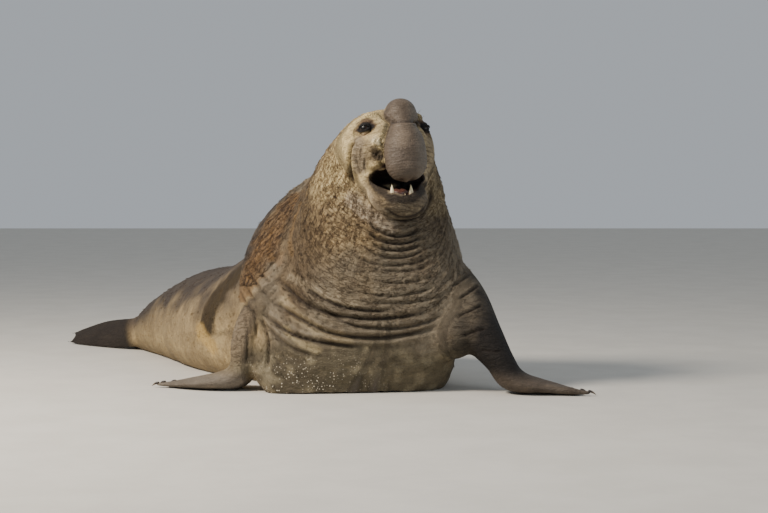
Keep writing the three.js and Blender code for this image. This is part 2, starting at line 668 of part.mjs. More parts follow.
function build() {
  const wholeTrunk = trunk();
  const trunkRoom = trunk(GAP);
  const sides = [
    ["right", -1],
    ["left", 1],
  ];

  // Trunk in four lengths
  add("hindquarters", behind(wholeTrunk, hipsPlane), skin(COLOURS.flank));
  add("flank", behind(ahead(wholeTrunk, hipsPlane), waistPlane), skin(COLOURS.flank));
  add("chest", behind(ahead(wholeTrunk, waistPlane), neckPlane), skin(COLOURS.chest));
  const neck = behind(ahead(wholeTrunk, neckPlane), headPlane).subtract(mouthHollow());
  add("neck", neck, skin(COLOURS.chest));

  // Head with its lids and upper teeth
  const lids = sides.flatMap(([, s]) => LIDS.map((l) => lid(s, l)));
  const sockets = join(sides.map(([, s]) => eyeBall(s, EYE_RADIUS + GAP)));
  const face = join([skull(), facePads(), ...lids, ahead(wholeTrunk, headPlane)]);
  const head = ahead(face.subtract(mouthHollow()).add(upperTeeth()), headPlane).subtract(sockets);
  add("head", head, skin(COLOURS.head));
  const wetBlack = new THREE.MeshStandardMaterial({ color: 0x120d0a, roughness: 0.1 });
  for (const [name, s] of sides) add(name + "_eye", eyeBall(s, EYE_RADIUS), wetBlack);

  // Proboscis, and lower jaw with its teeth and tongue, cut where they meet the head
  const headRoom = join([skull(GAP), facePads(GAP), upperTeeth(GAP), trunkRoom]);
  add("proboscis", proboscis().subtract(headRoom).subtract(nostrils()), skin(COLOURS.proboscis));
  const jawFlesh = jaw().subtract(headRoom).subtract(mouthHollow());
  const jawInside = join([lowerTeeth(), tongue().subtract(headRoom)]);
  add("lower_jaw", jawFlesh.add(jawInside), skin(COLOURS.head));

  // Flippers and tail
  add("left_fore_flipper", foreFlipper(LEFT_ARM, LEFT_DIGITS).subtract(trunkRoom), skin(COLOURS.flipper));
  add("right_fore_flipper", foreFlipper(RIGHT_ARM, RIGHT_DIGITS).subtract(trunkRoom), skin(COLOURS.flipper));
  add("tail", blade(TAIL, 2, 12).subtract(trunkRoom), skin(COLOURS.hind));
  add("right_hind_flipper", hindFlipper(RIGHT_HIND).subtract(trunkRoom), skin(COLOURS.hind));
  add("left_hind_flipper", hindFlipper(LEFT_HIND).subtract(trunkRoom), skin(COLOURS.hind));
}

build();

// The origin is on the floor under the middle of the whole animal
const box = new THREE.Box3().setFromObject(body);
const centre = box.getCenter(new THREE.Vector3());
body.position.set(-centre.x, -centre.y, 0);

export default body;
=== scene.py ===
"""A bull southern elephant seal, life size, roaring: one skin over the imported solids, with its eyes,
teeth, tongue, nails, whiskers and short coat. Worked out in millimetres on the part's own spine and
head axes, then set down in the part's frame in metres."""
import math
import bmesh
import bpy
import numpy as np
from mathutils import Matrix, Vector, kdtree
from mathutils.bvhtree import BVHTree


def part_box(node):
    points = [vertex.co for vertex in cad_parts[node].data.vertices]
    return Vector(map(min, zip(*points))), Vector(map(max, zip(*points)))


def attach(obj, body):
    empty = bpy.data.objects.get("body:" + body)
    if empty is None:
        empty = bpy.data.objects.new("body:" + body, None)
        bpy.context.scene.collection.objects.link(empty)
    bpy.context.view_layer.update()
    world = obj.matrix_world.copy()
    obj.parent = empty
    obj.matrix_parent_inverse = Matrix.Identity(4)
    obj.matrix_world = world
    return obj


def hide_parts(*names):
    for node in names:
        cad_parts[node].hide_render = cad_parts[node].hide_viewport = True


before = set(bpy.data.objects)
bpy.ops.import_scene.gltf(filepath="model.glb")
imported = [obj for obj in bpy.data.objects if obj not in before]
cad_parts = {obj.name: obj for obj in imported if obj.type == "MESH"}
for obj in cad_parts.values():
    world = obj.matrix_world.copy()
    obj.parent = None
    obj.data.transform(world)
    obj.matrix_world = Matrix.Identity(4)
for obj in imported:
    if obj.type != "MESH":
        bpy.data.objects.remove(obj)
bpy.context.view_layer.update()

# Sizes shared with the solids, in millimetres and radians. Q is the distance back along the spine
SPINE_X, BEND_START, BEND_RADIUS, BEND_ANGLE = -150.0, 261.0, 900.0, math.radians(38.1)
EYE_MIDPOINT = np.array([42.0, 160.0, 1474.0])
HEAD_YAW, HEAD_PITCH = math.radians(17), math.radians(14)
EYE_RADIUS, EYE_FORWARD, EYE_SIDE, EYE_UP, EYE_TURN = 34.0, 60.0, 170.0, -8.0, math.radians(52)
FOLDS_FROM = 12
VOXEL = 8.0
SKIN_TRIANGLES = 196000

# Trunk stations, tail to nape: back q, z; belly q, z; half width; share of the height where it is widest;
# sideways lean of the back; how square the ring is over and under that height
TRUNK = np.array([
    [3230, 120, 3225, 20, 60, 0.50, 5, 2, 2],
    [3170, 215, 3160, -20, 123, 0.48, 47, 2, 2],
    [3040, 305, 3030, -45, 193, 0.46, 69, 2, 2.2],
    [2850, 395, 2840, -55, 269, 0.45, 77, 2, 2.2],
    [2540, 510, 2520, -65, 356, 0.44, 75, 2, 2.4],
    [2180, 600, 2180, -70, 440, 0.44, 50, 2, 2.6],
    [1800, 645, 1820, -75, 528, 0.44, 20, 2, 2.8],
    [1520, 705, 1450, -80, 590, 0.44, 10, 2, 3],
    [1300, 810, 1080, -80, 630, 0.43, 30, 2, 3.2],
    [1130, 940, 720, -80, 650, 0.42, 50, 2, 3.6],
    [1000, 1070, 360, -80, 640, 0.41, 15, 2, 4],
    [900, 1175, 20, -70, 612, 0.40, 18, 2, 4],
    [830, 1255, -75, 80, 585, 0.40, 58, 2, 3.4],
    [775, 1325, -100, 250, 540, 0.40, 130, 2, 3],
    [725, 1385, -105, 420, 475, 0.40, 148, 2, 2.6],
    [680, 1435, -85, 590, 425, 0.41, 142, 2, 2.4],
    [635, 1480, -40, 740, 391, 0.42, 149, 2, 2.2],
    [590, 1515, 10, 870, 361, 0.44, 160, 2, 2.1],
    [540, 1545, 55, 985, 326, 0.46, 167, 2, 2],
    [480, 1572, 110, 1090, 291, 0.48, 168, 2, 2],
    [410, 1590, 170, 1190, 259, 0.50, 162, 2, 2],
    [340, 1580, 220, 1290, 226, 0.50, 154, 2, 2],
], float)
HEAD = np.array([
    [-270, 65, -330, 280],
    [-170, 124, -340, 302],
    [-70, 141, -336, 278],
    [20, 124, -312, 238],
    [95, 82, -278, 193],
    [155, 18, -254, 152],
    [192, -45, -240, 108],
    [208, -100, -220, 55],
], float)
NOSE = np.array([
    [10, -75, 34, 45, 40, 30],
    [24, 5, 60, 70, 62, 40],
    [31, 60, 80, 86, 88, 46],
    [31, 112, 52, 90, 95, 42],
    [27, 144, 10, 68, 46, 34],
    [21, 167, -40, 88, 76, 45],
    [14, 187, -120, 113, 88, 60],
    [9, 200, -200, 122, 92, 72],
    [5, 203, -262, 120, 90, 76],
    [2, 199, -308, 99, 74, 64],
    [0, 194, -338, 64, 44, 40],
    [0, 191, -354, 20, 14, 12],
], float)
JAW = np.array([
    [-50, -332, 172, 80, 105],
    [30, -382, 172, 78, 108],
    [95, -432, 158, 76, 108],
    [142, -468, 132, 78, 90],
    [172, -480, 100, 64, 68],
    [190, -486, 44, 30, 32],
], float)
MOUTH = np.array([
    [-95, -300, 50, 18, 30],
    [-30, -298, 105, 30, 58],
    [30, -288, 158, 44, 92],
    [90, -284, 178, 54, 116],
    [140, -284, 184, 58, 128],
    [250, -280, 196, 66, 146],
], float)
LEFT_ARM = np.array([
    [180, 400, 690, 240, 210, 0, -1, 0],
    [400, 230, 500, 215, 190, 0, -1, 0],
    [552, 70, 315, 162, 125, 0, -1, 0],
    [645, -5, 185, 130, 88, 0, -1, 0],
    [702, -38, 96, 128, 80, 0, -1, 0],
    [780, -48, 58, 142, 62, 0, -1, 0],
    [865, -50, 44, 142, 47, 0.1, -1, 0],
    [950, -58, 32, 125, 34, 0.1, -1, 0],
    [1030, -85, 20, 88, 23, 0.1, -1, 0],
    [1095, -118, 11, 40, 13, 0.1, -1, 0],
], float)
RIGHT_ARM = np.array([
    [-430, 430, 640, 220, 190, 0, -1, 0],
    [-610, 290, 510, 190, 145, 0, -1, 0],
    [-730, 190, 385, 155, 112, 0, -1, 0],
    [-782, 140, 260, 136, 94, -0.1, -1, 0],
    [-790, 125, 150, 130, 84, -0.2, -1, 0],
    [-835, 140, 74, 150, 74, -0.25, -1, 0],
    [-940, 172, 48, 165, 54, -0.3, -1, 0],
    [-1060, 210, 34, 150, 39, -0.3, -1, 0],
    [-1165, 238, 22, 110, 27, -0.35, -1, 0],
    [-1250, 255, 9, 55, 12, -0.4, -1, 0],
], float)
RIGHT_HIND = np.array([
    [-1500, 2260, 150, 105, 85, -0.3, -0.3, -0.9],
    [-1680, 2380, 128, 112, 66, -0.3, -0.3, -0.9],
    [-1840, 2500, 106, 108, 48, -0.3, -0.3, -0.9],
    [-1990, 2620, 90, 98, 36, -0.3, -0.35, -0.9],
    [-2130, 2735, 66, 74, 25, -0.3, -0.4, -0.8],
    [-2250, 2835, 48, 40, 14, -0.3, -0.5, -0.7],
], float)
LEFT_HIND = np.array([
    [-1430, 2420, 150, 100, 80, 0.6, 0.5, -0.6],
    [-1520, 2590, 108, 106, 58, 0.6, 0.5, -0.6],
    [-1630, 2750, 78, 114, 42, 0.6, 0.5, -0.5],
    [-1760, 2890, 58, 118, 31, 0.6, 0.5, -0.4],
    [-1890, 3010, 38, 95, 22, 0.6, 0.5, -0.3],
    [-2000, 3105, 22, 52, 13, 0.6, 0.5, -0.2],
], float)
TAIL = np.array([
    [-1640, 2480, 170, 95, 50, 0.79, 0.62, 0],
    [-1760, 2630, 152, 72, 38, 0.79, 0.62, 0],
    [-1840, 2732, 136, 52, 27, 0.79, 0.62, 0],
    [-1890, 2796, 126, 22, 12, 0.79, 0.62, 0],
], float)
LEFT_DIGITS = np.array([
    [740, -132, 52, 1148, -175, 17, 36, 30],
    [760, -92, 62, 1112, -104, 16, 32, 28],
    [760, -46, 64, 1062, -40, 15, 30, 27],
    [760, 0, 60, 1002, 22, 15, 30, 26],
    [750, 45, 54, 935, 80, 15, 30, 25],
], float)
RIGHT_DIGITS = np.array([
    [-860, 60, 48, -1315, 225, 17, 36, 28],
    [-880, 105, 54, -1285, 290, 16, 32, 26],
    [-890, 155, 54, -1230, 345, 15, 30, 25],
    [-885, 205, 50, -1155, 385, 15, 30, 24],
    [-875, 250, 44, -1075, 410, 15, 30, 23],
], float)
HIND_DIGITS = np.array([
    [0.82, 1.0],
    [0.42, 0.72],
    [0.0, 0.6],
    [-0.42, 0.72],
    [-0.82, 0.96],
], float)

# Lofts


def stations(table, step):
    """Places along a table, from its first row, 0, to its last"""
    return np.arange(0, len(table) - 1 + 1e-6, step)


def along(table, t):
    """The table's values at places t, on a smooth curve through its rows"""
    t = np.atleast_1d(np.asarray(t, float))
    last = len(table) - 1
    i = np.clip(np.floor(t).astype(int), 0, last - 1)
    u = (t - i)[:, None]
    b, c = table[i], table[i + 1]
    a = np.where((i > 0)[:, None], table[np.maximum(i - 1, 0)], 2 * b - c)
    d = np.where((i + 2 <= last)[:, None], table[np.minimum(i + 2, last)], 2 * c - b)
    return 0.5 * (2 * b + (c - a) * u + (2 * a - 5 * b + 4 * c - d) * u**2 + (3 * b - a - 3 * c + d) * u**3)


def ramp(x, low, high):
    x = np.clip((x - low) / (high - low), 0, 1)
    return x * x * (3 - 2 * x)


def unit(v):
    return v / np.maximum(np.linalg.norm(v, axis=-1, keepdims=True), 1e-9)


def run_at(table, t, reach):
    """The way the table's first three columns run at t, from what lies a little ahead and behind"""
    last = len(table) - 1
    ahead = along(table, np.clip(t + reach, 0, last))[:, :3]
    behind = along(table, np.clip(t - reach, 0, last))[:, :3]
    return unit(ahead - behind)


def ovals(centre, side, up, half, rise, drop, over, under, points):
    """Rings of points round each centre: half as wide as half, risen and dropped by rise and drop"""
    angle = 2 * math.pi * np.arange(points) / points
    s, c = np.sin(angle)[None, :], np.cos(angle)[None, :]
    col = lambda v: np.broadcast_to(np.asarray(v, float).reshape(-1, 1), (len(centre), 1))
    power = np.where(c > 0, 2 / col(over), 2 / col(under))
    across = np.sign(s) * np.abs(s) ** power * col(half)
    height = np.sign(c) * np.abs(c) ** power * np.where(c > 0, col(rise), col(drop))
    return centre[:, None] + across[..., None] * side[:, None] + height[..., None] * up[:, None]


def plan(q):
    """Where the spine runs, seen from above: straight, then bent to the animal's right"""
    heading = np.clip((q - BEND_START) / BEND_RADIUS, 0, BEND_ANGLE)
    past = np.maximum(q - BEND_START - BEND_RADIUS * BEND_ANGLE, 0)
    x = SPINE_X - BEND_RADIUS * (1 - np.cos(heading)) - past * math.sin(BEND_ANGLE)
    y = np.minimum(q, BEND_START) + BEND_RADIUS * np.sin(heading) + past * math.cos(BEND_ANGLE)
    return x, y, heading


def trunk_rings(t, points):
    back_q, back_z, belly_q, belly_z, half, middle, lean, over, under = along(TRUNK, t).T
    bx, by, _ = plan(back_q)
    vx, vy, _ = plan(belly_q)
    yaw = HEAD_YAW * ramp(np.atleast_1d(t), FOLDS_FROM + 2, len(TRUNK) - 2)
    top = np.stack([bx + lean, by, back_z], 1)
    bottom = np.stack([vx + lean, vy, belly_z], 1)
    height = np.linalg.norm(top - bottom, axis=1)
    up = (top - bottom) / height[:, None]
    up = np.stack([np.cos(yaw) * up[:, 0] - np.sin(yaw) * up[:, 1],
                   np.sin(yaw) * up[:, 0] + np.cos(yaw) * up[:, 1], up[:, 2]], 1)
    heading = plan((back_q + belly_q) / 2)[2] + yaw
    side = np.stack([np.cos(heading), np.sin(heading), 0 * heading], 1)
    side = unit(side - up * np.sum(side * up, 1, keepdims=True))
    centre = (top + bottom) / 2 + up * ((middle - 0.5) * height)[:, None]
    return ovals(centre, side, up, half, (1 - middle) * height, middle * height, over, under, points)


def head_axes():
    """Side, forward and up of the turned and lifted head"""
    cy, sy = math.cos(HEAD_YAW), math.sin(HEAD_YAW)
    cp, sp = math.cos(HEAD_PITCH), math.sin(HEAD_PITCH)
    return np.array([[cy, sy, 0], [sy * cp, -cy * cp, sp], [-sy * sp, cy * sp, cp]])


HEAD_AXES = head_axes()


def to_head(p):
    return (p - EYE_MIDPOINT) @ HEAD_AXES.T


def from_head(p):
    return np.asarray(p, float) @ HEAD_AXES + EYE_MIDPOINT


def ball_rings(radii):
    a = np.linspace(0, math.pi, 25)[1:-1]
    n = 32
    turn = 2 * math.pi * np.arange(n) / n
    rings = np.stack([np.sin(a)[:, None] * np.cos(turn), np.sin(a)[:, None] * np.sin(turn),
                      np.cos(a)[:, None] * np.ones(n)], -1)
    return rings * np.array(radii)


def ball(side, forward, up, radii):
    return from_head(ball_rings(radii) + np.array([side, forward, up]))


def skull_rings():
    t = stations(HEAD, 0.125)
    forward, top, bottom, half = along(HEAD, t).T
    centre = np.stack([0 * t, forward, (top + bottom) / 2], 1)
    tall = (top - bottom) / 2
    one = np.ones((len(t), 1))
    return from_head(ovals(centre, one * [1, 0, 0], one * [0, 0, 1], half, tall, tall, 2.2, 2.2, 64))


def nose_rings():
    t = stations(NOSE, 0.125)
    side, forward, up, half, outer, inner = along(NOSE, t).T
    centre = np.stack([side, forward, up], 1)
    run = run_at(NOSE, t, 0.3)
    across = np.broadcast_to([1.0, 0, 0], run.shape)
    return from_head(ovals(centre, across, unit(np.cross(across, run)), half, outer, inner, 2.1, 2.1, 64))


def jaw_rings():
    t = stations(JAW, 0.125)
    forward, up, half, rise, drop = along(JAW, t).T
    centre = np.stack([0 * t, forward, up], 1)
    run = unit(np.array([0, JAW[-1][0] - JAW[0][0], JAW[-1][1] - JAW[0][1]]))
    out = np.array([0, -run[2], run[1]])
    one = np.ones((len(t), 1))
    return from_head(ovals(centre, one * [1, 0, 0], one * out, half, rise, drop, 2.3, 2.3, 56))


def mouth_rings():
    t = stations(MOUTH, 0.25)
    forward, up, half, rise, drop = along(MOUTH, t).T
    centre = np.stack([0 * t, forward, up], 1)
    one = np.ones((len(t), 1))
    return from_head(ovals(centre, one * [1, 0, 0], one * [0, 0, 1], half, rise, drop, 1.8, 1.3, 56))


def blade_rings(table, t, points=44):
    row = along(table, t)
    run = run_at(table, t, 0.1)
    lead = unit(row[:, 5:8] - run * np.sum(row[:, 5:8] * run, 1, keepdims=True))
    return ovals(row[:, :3], lead, np.cross(run, lead), row[:, 3], row[:, 4], row[:, 4], 2, 2, points)


def digit_rings(row):
    foot, tip, wide, high = row[:3], row[3:6], row[6], row[7]
    t = np.linspace(0, 1, 25)
    size = np.interp(t, [0, 0.25, 0.5, 0.75, 0.94, 1], [0.7, 1, 0.92, 0.8, 0.62, 0.3])
    knuckle = 1 + 0.10 * np.cos(2 * math.pi * (t * 3 - 0.1)) * (t < 0.97)
    run = unit(tip - foot)
    side = unit(np.cross([0, 0, 1.0], run))
    one = np.ones((len(t), 1))
    centre = foot + (tip - foot) * t[:, None]
    half = wide * size * knuckle
    rise = high * size * knuckle
    return ovals(centre, one * side, one * np.cross(run, side), half, rise, high * size, 2, 2, 20)


def hind_digit_rings(table, across, reach):
    last = len(table) - 1
    s = np.linspace(0, 1, 25)
    t = 1 + (last - 1) * s
    row = along(table, t)
    run = run_at(table, t, 0.1)
    lead = unit(row[:, 5:8] - run * np.sum(row[:, 5:8] * run, 1, keepdims=True))
    spread = np.minimum(row[:, 3] + 22 * s, 118) * (1 - 0.3 * s**2)
    centre = row[:, :3] + lead * (across * spread)[:, None] + run * (150 * (reach - 0.6) * s**2)[:, None]
    size = np.interp(s * 6, range(7), [0.7, 0.95, 1, 0.95, 0.85, 0.65, 0.3])
    centre[:, 2] = np.maximum(centre[:, 2], 16 * size)
    return ovals(centre, lead, np.cross(run, lead), 26 * size, 24 * size, 24 * size, 2, 2, 20)


# Meshes from rings


def tube(rings):
    """Rings skinned one to the next, with both ends closed"""
    rows, n = rings.shape[:2]
    verts = np.concatenate([rings.reshape(-1, 3), rings[0].mean(0)[None], rings[-1].mean(0)[None]])
    i, j = np.meshgrid(np.arange(rows - 1), np.arange(n), indexing="ij")
    a, b = (i * n + j).ravel(), (i * n + (j + 1) % n).ravel()
    faces = np.stack([a, b, b + n, a + n], 1).tolist()
    j = np.arange(n)
    low, high = rows * n, rows * n + 1
    faces += np.stack([np.full(n, low), (j + 1) % n, j], 1).tolist()
    end = (rows - 1) * n
    faces += np.stack([np.full(n, high), end + j, end + (j + 1) % n], 1).tolist()
    return verts, faces


def mesh_of(name, parts):
    verts, faces, count = [], [], 0
    for v, f in parts:
        verts.append(v)
        faces += [[k + count for k in face] for face in f]
        count += len(v)
    mesh = bpy.data.meshes.new(name)
    mesh.from_pydata(np.concatenate(verts).tolist(), [], faces)
    return mesh


def shown(name, mesh):
    piece = bpy.data.objects.new(name, mesh)
    bpy.context.scene.collection.objects.link(piece)
    return piece


def turned_out(mesh):
    bm = bmesh.new()
    bm.from_mesh(mesh)
    bmesh.ops.recalc_face_normals(bm, faces=bm.faces)
    bm.to_mesh(mesh)
    bm.free()
    return mesh


def settled(piece):
    graph = bpy.context.evaluated_depsgraph_get()
    mesh = bpy.data.meshes.new_from_object(piece.evaluated_get(graph))
    piece.modifiers.clear()
    old = piece.data
    piece.data = mesh
    bpy.data.meshes.remove(old)
    return piece


def points_of(mesh):
    co = np.zeros(len(mesh.vertices) * 3, np.float32)
    mesh.vertices.foreach_get("co", co)
    return co.reshape(-1, 3).astype(float)


def put_points(mesh, co):
    mesh.vertices.foreach_set("co", co.astype(np.float32).ravel())
    mesh.update()


def normals_of(mesh):
    n = np.zeros(len(mesh.vertices) * 3, np.float32)
    mesh.vertex_normals.foreach_get("vector", n)
    return n.reshape(-1, 3).astype(float)


def edges_of(mesh):
    e = np.zeros(len(mesh.edges) * 2, np.int32)
    mesh.edges.foreach_get("vertices", e)
    return e.reshape(-1, 2)


def relaxed(values, edges, steps, share=0.6):
    out = np.array(values, float)
    flat = out.ndim == 1
    if flat:
        out = out[:, None]
    n = len(out)
    a, b = edges[:, 0], edges[:, 1]
    degree = np.maximum(np.bincount(a, minlength=n) + np.bincount(b, minlength=n), 1)
    for _ in range(steps):
        mean = np.stack([(np.bincount(a, out[b, k], n) + np.bincount(b, out[a, k], n)) / degree
                         for k in range(out.shape[1])], 1)
        out += share * (mean - out)
    return out[:, 0] if flat else out


def noise(p, size, seed):
    q = p / size + seed * 17.31
    cell = np.floor(q).astype(np.int64)
    f = q - cell
    w = f * f * f * (f * (f * 6 - 15) + 10)
    total = 0
    for dx in (0, 1):
        for dy in (0, 1):
            for dz in (0, 1):
                h = (cell[:, 0] + dx) * 73856093 ^ (cell[:, 1] + dy) * 19349663 ^ (cell[:, 2] + dz) * 83492791
                h = ((h ^ (h >> 13)) * 1274126177) & 0xFFFFFF
                h = ((h ^ (h >> 11)) * 668265263) & 0xFFFFFF
                weight = ((w[:, 0] if dx else 1 - w[:, 0]) * (w[:, 1] if dy else 1 - w[:, 1])
                          * (w[:, 2] if dz else 1 - w[:, 2]))
                total = total + weight * (h / 0x7FFFFF - 1)
    return total


def tree_of(points):
    tree = kdtree.KDTree(len(points))
    for k, p in enumerate(points):
        tree.insert(p, k)
    tree.balance()
    return tree


def gap_to(rings, co, chosen):
    """How far the chosen points lie from the rings; 999 for all others"""
    tree = tree_of(rings.reshape(-1, 3))
    near = np.flatnonzero(chosen)
    gap = np.full(len(co), 999.0)
    gap[near] = [tree.find(p)[2] for p in co[near]]
    return gap


# The raw flesh: lofts joined into one surface, with the proboscis laid over the cut mouth

SIDES = (("right", -1), ("left", 1))
CHEEK_PADS = (
    (122, 30, 62, (62, 62, 40)),
    (130, -40, -262, (80, 90, 110)),
    (108, 92, -226, (66, 62, 40)),
)
LIP_PAD = (116, 102, -234, (54, 54, 28))
ARMPIT, ARMPIT_RADII = (388, 40, 328), (148, 130, 150)


def remeshed(piece, voxel):
    mod = piece.modifiers.new("one_surface", "REMESH")
    mod.mode, mod.voxel_size = "VOXEL", voxel
    return settled(piece)


def joined(piece, meshes):
    bm = bmesh.new()
    bm.from_mesh(piece.data)
    for mesh in meshes:
        bm.from_mesh(mesh)
    bm.to_mesh(piece.data)
    bm.free()
    return piece


ROUND_TRUNK = 120
flesh = [tube(trunk_rings(stations(TRUNK, 0.1), ROUND_TRUNK)), tube(skull_rings()), tube(jaw_rings())]
for _, s in SIDES:
    flesh += [tube(ball(s * side, forward, up, radii)) for side, forward, up, radii in CHEEK_PADS]
for arm, digits in ((LEFT_ARM, LEFT_DIGITS), (RIGHT_ARM, RIGHT_DIGITS)):
    flesh.append(tube(blade_rings(arm, stations(arm, 0.1))))
    flesh += [tube(digit_rings(d)) for d in digits]
for blade in (RIGHT_HIND, LEFT_HIND):
    flesh.append(tube(blade_rings(blade, stations(blade, 0.1))))
    flesh += [tube(hind_digit_rings(blade, *d)) for d in HIND_DIGITS]
flesh.append(tube(ball_rings(ARMPIT_RADII) + ARMPIT))
flesh.append(tube(blade_rings(TAIL, stations(TAIL, 0.1))))

skin = remeshed(shown("skin", turned_out(mesh_of("skin", flesh))), VOXEL)
hollow = shown("mouth_hollow", turned_out(mesh_of("mouth_hollow", [tube(mouth_rings())])))
mod = skin.modifiers.new("mouth", "BOOLEAN")
mod.operation, mod.solver, mod.object = "DIFFERENCE", "MANIFOLD", hollow
settled(skin)
bpy.data.objects.remove(hollow)
over_mouth = [tube(nose_rings())]
for _, s in SIDES:
    over_mouth.append(tube(ball(s * LIP_PAD[0], *LIP_PAD[1:])))
joined(skin, [turned_out(mesh_of("proboscis_and_lip_pads", over_mouth))])
remeshed(skin, VOXEL)

# Soft fillets where the lofts meet, broad on the body and tight on the face, and the floor underneath

co = points_of(skin.data)
edges = edges_of(skin.data)
head = to_head(co)
on_face = ramp(head[:, 1], -120, 20) * ramp(head[:, 2], -640, -560) * (np.abs(head[:, 0]) < 300)
near_nose = (head[:, 1] > 40) & (head[:, 2] > -370) & (np.abs(head[:, 0]) < 175)
on_face = np.maximum(on_face, near_nose)
for steps, share_body, share_face in ((60, 1, 0), (8, 1, 0.15), (3, 1, 0.5)):
    put_points(skin.data, co)
    normal = normals_of(skin.data)
    move = relaxed(co, edges, steps) - co
    out = np.sum(move * normal, 1)
    share = share_body + (share_face - share_body) * on_face
    co = co + normal * (share * np.where(out > 0, out, 0.15 * out))[:, None]
co[:, 2] = np.maximum(co[:, 2], 0)
put_points(skin.data, co)

# A finer mesh on the face, and finer again round the eyes


def split_faces(mesh, chosen):
    bm = bmesh.new()
    bm.from_mesh(mesh)
    edges = {e for f, want in zip(bm.faces, chosen) if want for e in f.edges}
    bmesh.ops.subdivide_edges(bm, edges=list(edges), cuts=1, use_grid_fill=True)
    bm.to_mesh(mesh)
    bm.free()


def face_centres(mesh):
    c = np.zeros(len(mesh.polygons) * 3, np.float32)
    mesh.polygons.foreach_get("center", c)
    return to_head(c.reshape(-1, 3).astype(float))


EYE_CENTRES = [np.array([s * EYE_SIDE, EYE_FORWARD, EYE_UP]) for _, s in SIDES]
place = face_centres(skin.data)
split_faces(skin.data, (place[:, 1] > -60) & (place[:, 2] > -580) & (np.abs(place[:, 0]) < 260))
place = face_centres(skin.data)
to_eye = np.min([np.linalg.norm(place - c, axis=1) for c in EYE_CENTRES], axis=0)
split_faces(skin.data, to_eye < 85)
co = points_of(skin.data)
edges = edges_of(skin.data)

# Where each point is on the trunk: station, turn round it, and how far off it lies

grid_t = stations(TRUNK, 0.1)
grid = trunk_rings(grid_t, ROUND_TRUNK)
turns = ROUND_TRUNK
by_t = np.gradient(grid, grid_t, axis=0).reshape(-1, 3)
by_a = ((np.roll(grid, -1, 1) - np.roll(grid, 1, 1)) / (4 * math.pi / turns)).reshape(-1, 3)


def on_trunk(co):
    tree = tree_of(grid.reshape(-1, 3))
    found = np.array([tree.find(p)[1:] for p in co])
    k, far = found[:, 0].astype(int), found[:, 1]
    gap = co - grid.reshape(-1, 3)[k]
    dt, da = by_t[k], by_a[k]
    step = np.sum(gap * dt, 1) / np.maximum(np.sum(dt * dt, 1), 1)
    swing = np.sum(gap * da, 1) / np.maximum(np.sum(da * da, 1), 1)
    t = grid_t[k // turns] + np.clip(step, -0.08, 0.08)
    a = (k % turns) * 2 * math.pi / turns + np.clip(swing, -0.04, 0.04)
    return t, a, far, k


t, turn, far, nearest = on_trunk(co)
t = relaxed(t, edges, 3)
trunk_share = 1 - ramp(far, 20, 60)
head = to_head(co)

# What the photograph shows of creases: photo pixels, laid on the skin by sight from the camera.
# Each has its width and depth in millimetres

